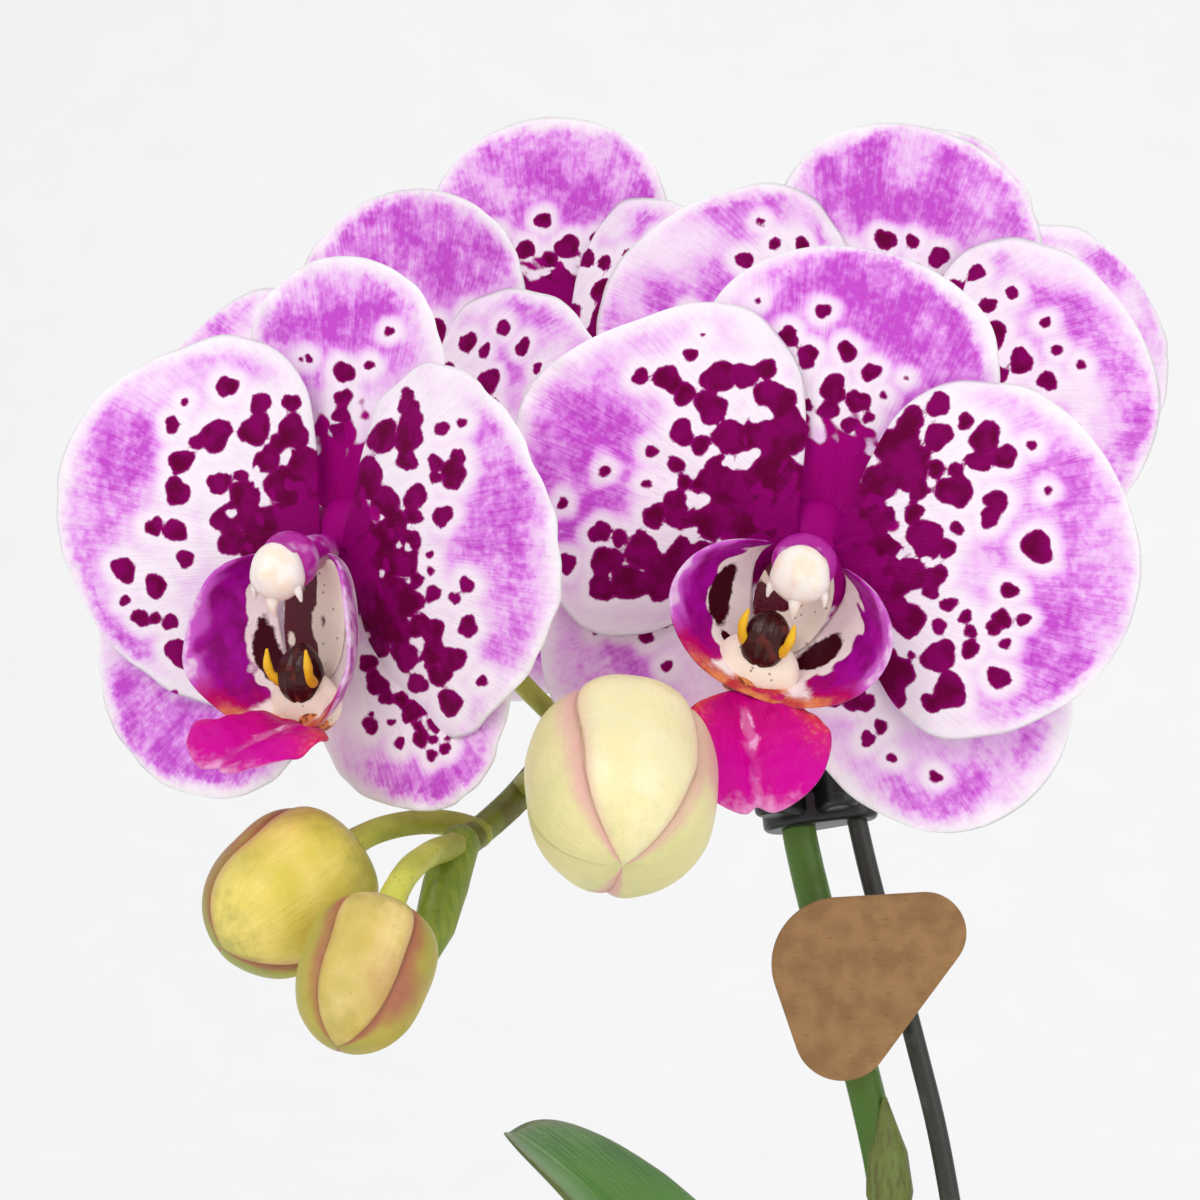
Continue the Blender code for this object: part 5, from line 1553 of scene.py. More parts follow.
@dataclass
class Bloom:
    """An open bloom: five tepals on a hub, a lip with its callus, and a column."""

    name: str
    number: int
    centre: Point
    turn: float
    tip: float
    roll: float
    size: float
    lip: Lip
    changes: dict[Part, dict[str, float]]
    fineness: int = 56

    def matrix(self) -> Matrix:
        """Return the way from the bloom's own millimetres, with z out of its face, to the plant's."""
        facing = Matrix(((1, 0, 0), (0, 0, -1), (0, 1, 0))).to_4x4()
        return (
            Matrix.Translation(self.centre)
            @ Matrix.Rotation(math.radians(self.turn), 4, "Z")
            @ Matrix.Rotation(math.radians(-self.tip), 4, "X")
            @ facing
            @ Matrix.Rotation(math.radians(-self.roll), 4, "Z")
            @ Matrix.Scale(self.size, 4)
        )

    def seen(self, points: Array) -> Array:
        """Return where points of the bloom's own space lie as seen from the front, from its centre."""
        turn = np.array(self.matrix())
        offset = points @ turn[:3, :3].T
        return np.stack([offset @ VIEW_RIGHT, offset @ VIEW_UP], axis=-1)

    def piece(self, suffix: str, surface: Surface, finish: Finish, part: str, slot: str,
              streaks: Array | None = None) -> Piece:
        """Return a finished piece of the bloom, carried to its place on the plant."""
        whole = surface.moved(self.matrix())
        return Piece(f"{self.name}_{suffix}", whole, finish, (f"{self.name}_{part}",), slot, streaks)

    def paint(self, part: Part, tepal: Tepal, middle: Array, p: Array,
              q: Array) -> dict[str, Array]:
        """Work out the marks of one tepal.

        Args:
            part: which tepal it is.
            tepal: its form.
            middle: its middle surface in the bloom's own millimetres.
            p: places along the unit disc.
            q: places across the unit disc.

        Returns:
            The marks spot, rim, wash and throat on the grid.
        """
        draw = np.random.default_rng(700 + 10 * self.number + list(Part).index(part))
        petal = part in (Part.PETAL_LEFT, Part.PETAL_RIGHT)
        top = part is Part.SEPAL_TOP
        _, reach, width = tepal.chart(p, q)
        own = np.stack([width, reach], axis=-1)
        far = np.hypot(width, reach)
        seen = self.seen(middle)
        given = FRONT_MARKINGS.get((self.name, part))
        mass = (9.6 if petal else 4.0 if top else 7.0) - far + 1.1 * waves(own, 5.0, 90 + self.number)
        if given is None:
            spots = disc_field(own, scattered_spots(tepal, petal, draw), draw, 0.13)
            spots = np.minimum(np.maximum(spots, mass), 5.0)
            clouds = waves(own, 11.0, 40 + self.number + len(part.value))
            patches = ease(far, 14, 24) * (0.62 + 0.55 * clouds)
            if top:
                patches = patches * 0.5 + 0.66 * ease(far, 12, 24)
            wash = 0.16 + np.clip(patches, 0, 1.06)
        else:
            spots = mass
            if given.spots:
                spots = np.maximum(spots, disc_field(seen, given.spots, draw, 0.13))
            if given.gaps:
                spots = np.minimum(spots, -disc_field(seen, given.gaps, draw, 0.3))
            wash = 0.2 + 0.14 * waves(own, 8.0, 60 + self.number)
            for right, up, radius, strength in given.wash:
                offset = np.hypot(seen[..., 0] - right, seen[..., 1] - up)
                wash = wash + 0.78 * strength * np.exp(-((offset / (radius * 1.2)) ** 2))
        rim = (1 - np.sqrt(np.minimum(p * p + q * q, 1))) * min(tepal.half_width, tepal.length / 2)
        ragged = far + 2.4 * waves(own, 2.4, 30 + self.number) + 1.2 * waves(own, 5.0, 35 + self.number)
        throat = ease(ragged, 17.0, 12.0) if top else 0.9 * ease(ragged, 11.0, 6.0)
        return {
            "spot": np.clip(spots, -6, 5), "rim": rim, "wash": np.clip(wash, 0, 1.35), "throat": throat,
        }

    def tepals(self) -> Piece:
        """Build the five tepals and the hub that they grow from.

        Each tepal is a closed shell round its middle surface. Its streaks follow a fan whose
        first number is the place aside divided by (along + 0.15)^0.8.

        Returns:
            The finished piece.
        """
        chance = Random(100 + self.number)
        p, q = disc_grid(self.fineness, self.fineness)
        half = blade_half(self.fineness, self.fineness, TEPAL_HALF_THICKNESS)
        parts, charts = [], []
        for part, usual in TEPALS.items():
            tepal = replace(usual, **self.changes.get(part, {}))
            tepal = replace(tepal, angle=tepal.angle + chance.uniform(-1.5, 1.5))
            wave, phase = chance.uniform(0.4, 1.0), chance.uniform(0, TAU)
            middle = tepal.middle(p, q, wave, phase)
            along, reach, width = tepal.chart(p, q)
            fan = np.stack([width / (along + 0.15) ** 0.8 + 60.0 * len(parts), reach], axis=-1)
            surface, chart = blade(middle, half, self.paint(part, tepal, middle, p, q), fan, (0, 0, 1))
            parts.append(surface)
            charts.append(chart)
        hub = egg((0.0, -0.6, -3.1), (6.2, 6.6, 3.2))
        front = ease(hub.points[:, 2], -3.6, -2.8)
        parts.append(hub.marked(spot=-6.0, rim=8.0, throat=1.0, front=front))
        charts.append(np.zeros((len(hub.points), 2)))
        return self.piece("petals_and_sepals", Surface.joined(parts), Finish.TEPAL, "tepals", "tepal",
                          np.concatenate(charts))

    def hung(self, surface: Surface) -> Surface:
        """Turn a part of the lip by the lip's roll, and drop it, in full below y = -9.

        Args:
            surface: the part.

        Returns:
            The part, hung.
        """
        x, y, z = surface.points.T
        roll = math.radians(self.lip.roll)
        low = self.lip.drop * ease(-y, 1.0, 9.0)
        turned = (x * math.cos(roll) + y * math.sin(roll), y * math.cos(roll) - x * math.sin(roll) - low, z)
        return replace(surface, points=np.stack(turned, axis=-1))

    def side_lobe(self, side: int) -> Surface:
        """Build one upright ear of the lip's cup.

        Its foot and its rim are cubic Bezier curves. Between them it goes outwards with the power
        0.72 of the climb and forwards with the power 1.4, and its rim ripples.

        Args:
            side: -1 for the left ear and 1 for the right one, seen from the front.

        Returns:
            The closed shell, with the marks of its colours.
        """
        rows, columns = 60, 44
        p, q = disc_grid(rows, columns, square_base=True)
        t, climb = (p + 1) / 2, (q + 1) / 2
        spread = self.lip.spread[(side + 1) // 2]
        rim, seat = bezier(np.array(LIP_RIM) * (spread, 1.0), t), bezier(np.array(LIP_SEAT), t)
        flat = seat + (rim - seat) * (np.maximum(climb, 0) ** 0.72)[..., None]
        ripple = 0.35 * climb**4 * np.sin(17 * t + side + self.number)
        rise = LIP_RIM_HEIGHT + LIP_RIM_RISE * np.sin(math.pi * t) - LIP_SEAT_HEIGHT
        height = LIP_SEAT_HEIGHT + rise * np.maximum(climb, 0) ** 1.4 + ripple
        middle = np.stack([side * flat[..., 0], flat[..., 1], height], axis=-1)
        own = np.stack([t * 26, climb * 12], axis=-1)
        drift = 0.05 * waves(own, 3.0, 20 + self.number + side)
        # each ear's dark marking, drawn large enough to also paint the shade inside the cup
        blotch_and_shade_along, blotch_and_shade_up, violet_from = self.lip.left_ear if side < 0 else self.lip.right_ear
        blotch = np.exp(-(((t - blotch_and_shade_along) / 0.23) ** 2) - ((climb - blotch_and_shade_up) / 0.16) ** 2)
        second = np.exp(-(((t - blotch_and_shade_along + 0.27) / 0.06) ** 2) - ((climb - blotch_and_shade_up) / 0.07) ** 2)
        marks = {
            "violet": ease(climb + drift, violet_from - 0.05, violet_from + 0.1) * ease(t, 0.1, 0.28),
            "amber": np.maximum(
                ease(t, 0.2, 0.05), ease(t, 0.5, 0.12) * (0.3 + 0.6 * ease(climb, 0.66, 0.95))),
            "line": ease(climb + drift, 0.72, 0.98) * ease(t, 0.25, 0.45),
            "blotch": np.maximum(blotch * 1.1, second),
        }
        half = blade_half(rows, columns, TEPAL_HALF_THICKNESS)
        surface, _ = blade(middle, half, marks, own, (-side, 0.5, 0.8))
        return surface

    def lip_cup(self) -> Piece:
        """Build the two side lobes and the claw that carries them.

        Returns:
            The finished piece.
        """
        through = [(0, -5, -0.6), (0, -9, 0.1), (0, -12, 1.2), (0, -14.6, 3.6)]
        claw = tapered(through, 16, 20, (0, 0.33, 0.67, 1), (1.7, 1.9, 2.3, 2.3)).marked(front=1.0)
        whole = self.hung(Surface.joined([self.side_lobe(-1), self.side_lobe(1), claw]))
        return self.piece("lip_cup", whole, Finish.SIDE_LOBES, "lip", "lip")

    def middle_lobe(self) -> Piece:
        """Build the lip's middle lobe.

        A plate folded along its keel, widest in its middle, notched at its tip, with its sides
        risen from the keel by the tangent of the fold and each half swollen like a pillow.

        Returns:
            The finished piece.
        """
        lip = self.lip
        droop, swing = math.radians(lip.droop), math.radians(lip.swing)
        level = math.cos(swing)
        ahead = Vector((math.sin(swing), -math.sin(droop) * level, math.cos(droop) * level))
        face = Vector((0, math.cos(droop), math.sin(droop)))
        face = (face - ahead * face.dot(ahead)).normalized()
        turned = Matrix.Rotation(math.radians(-lip.twist), 3, ahead)
        side = np.array(turned @ face.cross(ahead))
        face, ahead = np.array(turned @ face), np.array(ahead)
        rows, columns = 72, 64
        p, q = disc_grid(rows, columns, square_base=True)
        t = (p + 1) / 2
        shoulder = 0.3 + 0.7 * (1 - np.exp(-((t / 0.1) ** 1.5)))
        width = q * MIDDLE_LOBE_HALF_WIDTH * shoulder * (0.66 + 0.36 * ease(t, 0.0, 0.5))
        notch = 1.2 * np.exp(-((width / 1.1) ** 2)) * ease(t, 0.8, 1.0)
        reach = t * lip.length - notch
        own = np.stack([width, reach], axis=-1)
        fold = math.tan(math.radians(lip.fold)) * np.sqrt(width**2 + 0.3)
        swell = 1.1 * np.sin(math.pi * np.clip(np.abs(q), 0, 1)) * ease(t, 0.05, 0.3) * ease(t, 1.0, 0.6)
        ripple = 0.5 * ease(np.abs(q), 0.6, 1.0) * np.sin(t * 13 + np.sign(q) * 1.3 + self.number)
        keel = 0.5 * np.exp(-((width / 0.8) ** 2)) * ease(t, 0.05, 0.2) * ease(t, 0.6, 0.4)
        lift = fold + swell + ripple + keel + 0.16 * waves(own, 3.0, 30 + self.number)
        base = np.array((*lip.base, MIDDLE_LOBE_SEAT))
        droops = np.stack([np.zeros_like(t), -1.6 * t * t, np.zeros_like(t)], axis=-1)
        middle = base + reach[..., None] * ahead + droops + width[..., None] * side + lift[..., None] * face
        fan = np.stack([width * 1.2 / (t + 0.35), reach], axis=-1)
        half = blade_half(rows, columns, 0.5)
        surface, chart = blade(middle, half, {"along": t, "across": q}, fan, face)
        return self.piece("lip_middle_lobe", surface, Finish.MIDDLE_LOBE, "lip", "lip", chart)

    def floor(self) -> Surface:
        """Build the lip's floor: a shallow bowl between the feet of its two side lobes.

        Returns:
            The closed surface.
        """
        u, v = unit_grid(40, 48)
        foot = bezier(np.array(LIP_SEAT), (u + 1) / 2)
        sag = 1.2 * (1 - v * v) * np.cos(u * math.pi / 2)
        aside = v * np.maximum(foot[..., 0], 0.4)
        middle = np.stack([aside, foot[..., 1], LIP_SEAT_HEIGHT - 0.1 - sag], axis=-1)
        blotches = 0.16 + 0.6 * waves(middle[..., :2], 4.0, 80 + self.number)
        stripe = np.abs(aside + 2.6 + 1.6 * waves(middle[..., :2], 3.0, 85 + self.number))
        deep = np.maximum(ease(stripe, 3.6, 0.6), blotches * ease(-aside, 1.5, 3.5))
        marks = {"floor": np.ones_like(u), "deep": np.clip(deep, 0, 1)}
        return blade(middle, blade_half(40, 48, 0.35), marks, middle[..., :2], (0, 0, 1))[0]

    def callus(self) -> Piece:
        """Build the callus, its two horns, the floor round it and the joint of the middle lobe.

        Returns:
            The finished piece.
        """
        shield = egg((0.0, -11.0, 7.2), (2.8, 3.5, 2.4), 28, 36)
        on_top = shield.points[:, 2] > 7.3
        aside = shield.points[:, 0]
        shield.points[:, 2] += on_top * (0.2 * np.cos(aside * 3.0) - 0.7 * np.exp(-((aside / 0.45) ** 2)))
        cushion = egg((0.0, -14.2, 6.3), (5.0, 3.8, 1.7), 22, 36)
        parts = [shield, cushion.marked(floor=1.0, ahead=ease(-cushion.points[:, 1], 14.5, 17.6))]
        for side in (-1, 1):
            through = [(side * 2.3, -11.6, 8.2), (side * 2.7, -10.8, 9.3), (side * 2.9, -9.6, 9.8),
                       (side * 2.8, -8.1, 10.0)]
            horn = tapered(through, 16, 16, (0, 0.4, 0.6, 0.8, 1), (0.7, 0.5, 0.56, 0.42, 0.2))
            parts.append(horn.marked(horn=1.0))
        top = Surface.joined(parts)
        shift = np.array((self.lip.callus, 0, 0))
        hung = self.hung(Surface.joined([replace(top, points=top.points + shift), self.floor()]))
        x, y = self.lip.base
        joint = egg((x, y + 0.7, MIDDLE_LOBE_SEAT - 0.9), (2.0, 1.1, 1.3)).marked(floor=1.0, ahead=1.0)
        whole = Surface.joined([hung, joint])
        return self.piece("lip_callus", whole, Finish.CALLUS, "lip", "lip")

    def column(self) -> Piece:
        """Build the column: its body, the hood over it, the anther cap, its jaws and its beak.

        Returns:
            The finished piece.
        """
        through = [(0, -0.2, 1.9), (0, -0.4, 4.0), (0, -1.0, 7.0), (0, -1.5, 9.0)]
        body = tapered(through, 18, 28, (0, 0.3, 0.7, 1), (2.0, 2.1, 2.5, 2.7))
        above = ease(body.points[:, 1] - np.interp(body.points[:, 2], (2, 9), (-0.2, -1.5)), -0.8, 0.8)
        hood = egg((0.0, -1.0, 8.1), (3.8, 3.4, 2.6), 24, 32).marked(hood=1.0)
        cap = egg((0.0, -2.2, 10.4), (3.3, 3.5, 2.7), 32, 40)
        x, y, z = cap.points.T
        nub = 0.4 * np.exp(-((x / 0.9) ** 2) - ((y + 2.6) / 0.9) ** 2) + 0.2 * np.exp(-((x / 0.8) ** 2))
        wide = 1 + 0.1 * ease(-y, 1.5, 3.6) - 0.2 * ease(-y, 4.2, 5.7)
        cap = replace(cap, points=np.stack([x * wide, y, z + nub * (z > 10.4)], axis=-1))
        back = ease(y, -0.4, 0.7) * ease(z, 11.6, 10.6)
        cap = cap.marked(cap=1 - back, hood=back)
        through = [(0, -3.9, 10.9), (0, -5.2, 11.2), (0, -6.4, 11.1), (0, -7.2, 10.7)]
        points = [tapered(through, 14, 18, (0, 0.5, 1), (1.3, 0.75, 0.2))]
        for side in (-1, 1):
            through = [(side * 2.3, -3.2, 10.4), (side * 3.1, -4.3, 10.5), (side * 3.3, -5.3, 10.2)]
            points.append(tapered(through, 10, 12, (0, 1), (0.9, 0.2)))
        parts = [body.marked(hood=above), hood, cap, *(point.marked(cap=1.0) for point in points)]
        return self.piece("column_and_cap", Surface.joined(parts), Finish.COLUMN, "column", "column")

    def build(self) -> list[Piece]:
        """Return all the bloom's finished pieces."""
        return [self.tepals(), self.lip_cup(), self.middle_lobe(), self.callus(), self.column()]


BLOOMS = (
    Bloom("bloom_1", 0, (-37.3, -79.6, 290.8), -8.0, 0.0, 10.0, 1.0,
          Lip(58.0, 23.0, 14.0, 14.0, 14.5, (-5.0, -17.0), 9.0, 0.0, -1.2,
              (0.55, 0.34, 0.46), (0.34, 0.16, 0.38)),
          {
              Part.PETAL_LEFT: {"angle": -70.0, "length": 38.0, "pinch": 0.30},
              Part.PETAL_RIGHT: {"angle": 82.0, "length": 38.5, "pinch": 0.05},
              Part.SEPAL_TOP: {"angle": 0.0, "half_width": 18.0, "pinch": -0.12},
              Part.SEPAL_RIGHT: {"angle": 129.0, "length": 38.5, "pinch": -0.15},
          }, 96),
    Bloom("bloom_2", 1, (-93.3, -77.6, 290.9), -33.0, 0.0, 2.0, 1.0,
          Lip(10.0, -12.0, 8.0, 2.0, 15.0, (3.4, -20.2), -3.0, 3.4, 0.8,
              (0.45, 0.16, 0.34), (0.5, 0.36, 0.56), (1.0, 0.8)),
          {
              Part.PETAL_LEFT: {
                  "angle": -82.0, "half_width": 21.8, "claw": 0.05, "taper": 0.45, "pinch": -0.10,
                  "bend": 16.0,
              },
              Part.PETAL_RIGHT: {
                  "angle": 86.0, "half_width": 21.5, "claw": 0.06, "taper": 0.40, "pinch": 0.0,
                  "bend": 16.0,
              },
              Part.SEPAL_TOP: {"half_width": 14.8, "length": 34.0},
              Part.SEPAL_LEFT: {"angle": -131.0, "length": 40.0, "half_width": 17.0, "bend": 6.0},
              Part.SEPAL_RIGHT: {
                  "angle": 137.0, "length": 35.0, "half_width": 16.4, "pinch": 0.22, "bend": 11.0,
                  "skew": 2.5,
              },
          }, 96),
    Bloom("bloom_3", 2, (-87.5, -37.0, 299.0), -28.0, 2.0, 2.0, 0.98,
          Lip(38.0, -6.0, 18.0, 8.0), {Part.PETAL_LEFT: {"angle": -84.0}}),
    Bloom("bloom_4", 3, (-27.8, -38.0, 307.0), 6.0, 4.0, 9.0, 1.0,
          Lip(52.0, 5.0, 18.0, 0.0),
          {Part.SEPAL_TOP: {"angle": 4.0, "half_width": 17.5}, Part.PETAL_RIGHT: {"length": 36.0}}),
    Bloom("bloom_5", 4, (-69.5, 20.0, 309.6), -16.0, 4.0, -2.0, 1.0,
          Lip(45.0, -8.0, 18.0, -6.0),
          {
              Part.SEPAL_TOP: {"half_width": 17.5}, Part.PETAL_RIGHT: {"length": 34.5},
              Part.SEPAL_RIGHT: {"angle": 127.0, "length": 32.0},
          }),
    Bloom("bloom_6", 5, (-12.5, 31.0, 309.0), 32.0, 4.0, 4.0, 0.98,
          Lip(40.0, 6.0, 18.0, 6.0), {Part.PETAL_LEFT: {"length": 34.0}}),
)


SPIKE_THROUGH = [
    (-4.3, -3.5, 97.0), (-8.5, -7.5, 112.0), (-12.5, -7.5, 140.0), (-18.5, -5.5, 175.0),
    (-23.4, -2.7, 200.7), (-26.6, 0.3, 215.0), (-33.2, 4.0, 239.5), (-35.5, 6.5, 251.0),
    (-36.5, 10.0, 262.0), (-38.0, 12.5, 271.0), (-41.5, 10.0, 278.0), (-47.5, -2.0, 281.5),
    (-53.5, -17.0, 280.5), (-58.8, -32.0, 276.5), (-63.0, -46.0, 271.5), (-67.0, -60.0, 266.0),
    (-72.0, -74.0, 261.0), (-78.5, -84.5, 256.3),
]
STAKE_THROUGH = [
    (2.0, -9.0, 24.0), (0.5, -9.5, 80.0), (-3.5, -9.5, 120.0), (-10.0, -8.0, 165.0),
    (-15.4, -5.7, 201.3), (-19.6, -2.3, 220.1), (-25.5, 3.2, 242.0), (-29.5, 7.2, 260.5),
]
STAKE_RADIUS = 1.4
GAP = 0.3
GOLDEN_ANGLE = 2.39996


@dataclass(frozen=True)
class Bud:
    """A closed bud from its base to its tip, and where its stalk leaves the spike.

    seam is the angle round the bud where its main sepal starts, sepal how wide that is in degrees,
    and blush the angle, the place along and the spread of its darkest tint.
    """

    name: str
    base: Point
    tip: Point
    width: float
    seam: float
    sepal: float
    blush: Point
    share: float
    push: Point
    finish: Finish

    def build(self) -> Piece:
        """Build the bud.

        A ball drawn out along its axis: the ring at height dz is (1 - |dz|^k)^0.5 wide, with k 4.5
        towards the foot and 2.0 towards the tip. Its three sepals meet in grooves, and the main one
        stands a little higher, so its edges overlap the other two.

        Returns:
            The finished piece.
        """
        rings, sides = 84, 168
        base, tip = np.array(self.base), np.array(self.tip)
        length = float(np.linalg.norm(tip - base))
        axis = (tip - base) / length
        across = unit(np.cross(axis, (0, 0, 1.0)))
        up = np.cross(across, axis)
        lift = -np.cos(np.linspace(0, math.pi, rings + 2))[1:-1, None]
        angle = np.linspace(0, TAU, sides, endpoint=False)[None, ::-1]
        along = np.broadcast_to((lift + 1) / 2, (rings, sides))
        own = np.stack([np.cos(angle) * 3 + 0 * lift, np.sin(angle) * 3 + 0 * lift, along * 6], axis=-1)
        wander = 0.1 * waves(own, 5.0, 70 + int(self.width))
        turned = np.degrees(angle + wander - math.radians(self.seam)) % 360
        turned = np.radians(np.interp(turned, (0, self.sepal, 360), (0, 120, 360)))
        valley = 1 - np.abs(np.sin(1.5 * turned))
        from_main = np.abs(turned / (TAU / 6) - 1)
        main = ease(from_main, 1.03, 0.97) * ease(along, 0.0, 0.12)
        ring = np.maximum(0, 1 - np.abs(lift) ** np.where(lift < 0, 4.5, 2.0)) ** 0.5 * (1.02 - 0.1 * along)
        ring = ring * (1 - 0.07 * valley**3 - 0.03 * valley**16 + 0.035 * main)
        ring = ring * (1 + 0.012 * waves(own, 2.2, 50 + int(self.width)))
        reach = length * (along + 0.05 * np.sin(math.pi * along))
        round_ = np.cos(angle)[..., None] * across + np.sin(angle)[..., None] * up
        points = base + axis * reach[..., None] + round_ * (ring * self.width / 2)[..., None]
        around, place, spread = self.blush
        offset = (angle - math.radians(around) + math.pi) % TAU - math.pi
        blush = np.exp(-((offset / 0.7) ** 2) - ((along - place) / spread) ** 2)
        marks = {
            # line is the painted shade at the bottom of each groove
            "seam": ease(valley, 0.3, 1.0) ** 1.5, "line": ease(valley, 0.93, 0.985), "main": main,
            "blush": blush, "along": along,
        }
        surface = ringed(points, base, tip, marks)
        arc = np.broadcast_to(angle * self.width / 2, (rings, sides))
        fan = np.stack([arc, reach], axis=-1).reshape(-1, 2)
        chart = np.concatenate([fan, [[0, 0], [0, length]]])
        return Piece(f"{self.name}_sepals", surface, self.finish, (self.name,), "bud", chart)


BUDS = (
    Bud("bud_large", (-59.5, -91.5, 271.7), (-59.5, -113.3, 258.2), 22.0, 60.0, 85.0,
        (160.0, 0.35, 0.3), 0.945, (0.0, -9.0, 1.0), Finish.BUD_LARGE),
    Bud("bud_middle", (-91.0, -85.0, 256.8), (-104.9, -95.4, 246.6), 18.0, 84.0, 140.0,
        (60.0, 0.6, 0.4), 0.985, (-3.5, 5.0, 1.5), Finish.BUD_MIDDLE),
    Bud("bud_small", (-85.6, -100.9, 252.0), (-90.9, -111.1, 237.9), 15.0, 73.0, 80.0,
        (158.0, 0.6, 0.3), 0.994, (-3.0, -7.0, 0.0), Finish.BUD_SMALL),
)


@dataclass(frozen=True)
class Spike:
    """The flower spike: its stem, bracts, flower stalks and growing tip."""

    base_radius: float = 2.8
    tip_radius: float = 1.7
    stalk_radius: float = 1.25
    stalks: tuple[tuple[str, float, Point], ...] = (
        ("bloom_6", 0.645, (4.0, 16.0, 2.0)), ("bloom_5", 0.665, (-4.0, 15.0, 0.0)),
        ("bloom_4", 0.725, (8.0, 0.0, 5.0)), ("bloom_3", 0.760, (-8.0, 5.0, 3.0)),
        ("bloom_1", 0.850, (9.0, -2.0, 4.0)), ("bloom_2", 0.885, (-8.0, 3.0, 5.0)),
    )
    bracts: tuple[tuple[float, float], ...] = ((0.17, -1.0), (0.355, 1.0), (0.60, -1.0))

    def radius(self, share: Array | float) -> Array | float:
        """Return the stem's radius at a share of its length: it tapers with the power 1.3."""
        return self.base_radius + (self.tip_radius - self.base_radius) * share**1.3

    def path(self) -> Array:
        """Return the stem's middle line."""
        return smooth_path(SPIKE_THROUGH, 180)

    def stem(self) -> Surface:
        """Sweep the stem, with a slight swelling at each node and faint lengthwise ribs.

        Returns:
            The closed surface, with the mark rachis.
        """
        path = self.path()
        share = np.linspace(0, 1, len(path))
        radii = self.radius(share)
        nodes = [share_ for _, share_, _ in self.stalks] + [share_ for share_, _ in self.bracts]
        swell = sum(np.exp(-(((share - node) / 0.008) ** 2)) for node in nodes)
        angle = np.linspace(0, TAU, 28, endpoint=False)
        ribs = 0.05 * np.sin(7 * angle)[None, :] * (1 - share[:, None])
        surface = swept(path, radii + 0.28 * swell, 28, relief=ribs)
        rachis = np.interp(surface.marks["along"], (170, 215), (0, 1))
        return surface.marked(rachis=rachis)

    def stalk(self, start: Array, push: Point, end: Array, facing: Array,
              radius: float) -> Surface:
        """Sweep a flower's stalk: a cubic Bezier that leaves along its push and enters along the face.

        Args:
            start: where it leaves the stem.
            push: which way and how far it is pushed out of the stem.
            end: where it meets the flower.
            facing: the way that the flower looks.
            radius: its radius.

        Returns:
            The closed surface, with the marks stalk and rachis.
        """
        reach = float(np.linalg.norm(end - start))
        corners = np.array([start, start + np.array(push), end - facing * 0.35 * reach, end])
        share = np.linspace(0, 1, 48)
        path = bezier(corners, share)
        radii = radius * (1 + 0.22 * np.exp(-share * 14) + 0.1 * ease(share, 0.86, 1.0))
        angle = np.linspace(0, TAU, 20, endpoint=False)
        grooves = 0.06 * np.sin(6 * angle[None, :] + 1.5 * share[:, None])
        surface = swept(path, radii, 20, relief=grooves)
        along = surface.marks["along"] / surface.marks["along"].max()
        return surface.marked(stalk=0.35 + 0.65 * along, rachis=1)

    def bract(self, share: float, towards: Array, length: float) -> Surface:
        """Sweep a small sheathing scale that clasps the stem at a node and ends in a point.

        Args:
            share: how far up the stem it sits, from 0 to 1.
            towards: the side that it leans to.
            length: its length.

        Returns:
            The closed surface, with the marks rachis and bract.
        """
        start, direction = point_along(self.path(), share)
        lean = unit(direction * 0.8 + unit(towards) * 0.35)
        radius = float(self.radius(share))
        corners = [start - direction * 1.5, start + lean * 0.45 * length, start + lean * length]
        radii = (radius + 0.25, radius + 0.7, radius + 0.3, 0.4)
        return tapered(corners, 26, 24, (0, 0.12, 0.5, 1), radii).marked(rachis=1, bract=1)

    def build(self) -> Piece:
        """Build the whole spike in one piece, its parts run into each other at the nodes.

        Returns:
            The finished piece.
        """
        path = self.path()
        blooms = {bloom.name: bloom for bloom in BLOOMS}
        parts = [self.stem()]
        for name, share, push in self.stalks:
            start, _ = point_along(path, share)
            matrix = blooms[name].matrix()
            end = np.array(matrix @ Vector((0, -1.0, PEDICEL_SEAT)))
            facing = unit(np.array(matrix.to_3x3() @ Vector((0, 0, 1))))
            parts.append(self.stalk(start, push, end, facing, self.stalk_radius))
            parts.append(self.bract(share, np.array(push), 6.5))
        for bud in BUDS:
            start, _ = point_along(path, bud.share)
            facing = unit(np.array(bud.tip) - np.array(bud.base))
            end = np.array(bud.base) - facing * GAP
            parts.append(self.stalk(start, bud.push, end, facing, self.stalk_radius * 1.2))
        for share, side in self.bracts:
            parts.append(self.bract(share, np.array((side * 2.0, -1.5, 6.0)), 13.0))
        through = [(-78.2, -84.2, 257.0), (-79.8, -86.6, 252.5), (-81.0, -89.2, 248.0),
                   (-82.2, -92.2, 243.6)]
        tip = tapered(through, 28, 28, (0, 0.33, 0.67, 1), (2.3, 2.7, 2.4, 0.9))
        parts.append(tip.marked(rachis=1, growing=1))
        whole = Surface.joined(parts)
        return Piece("spike_stem_and_stalks", whole, Finish.STEM, ("flower_spike",), "spike")


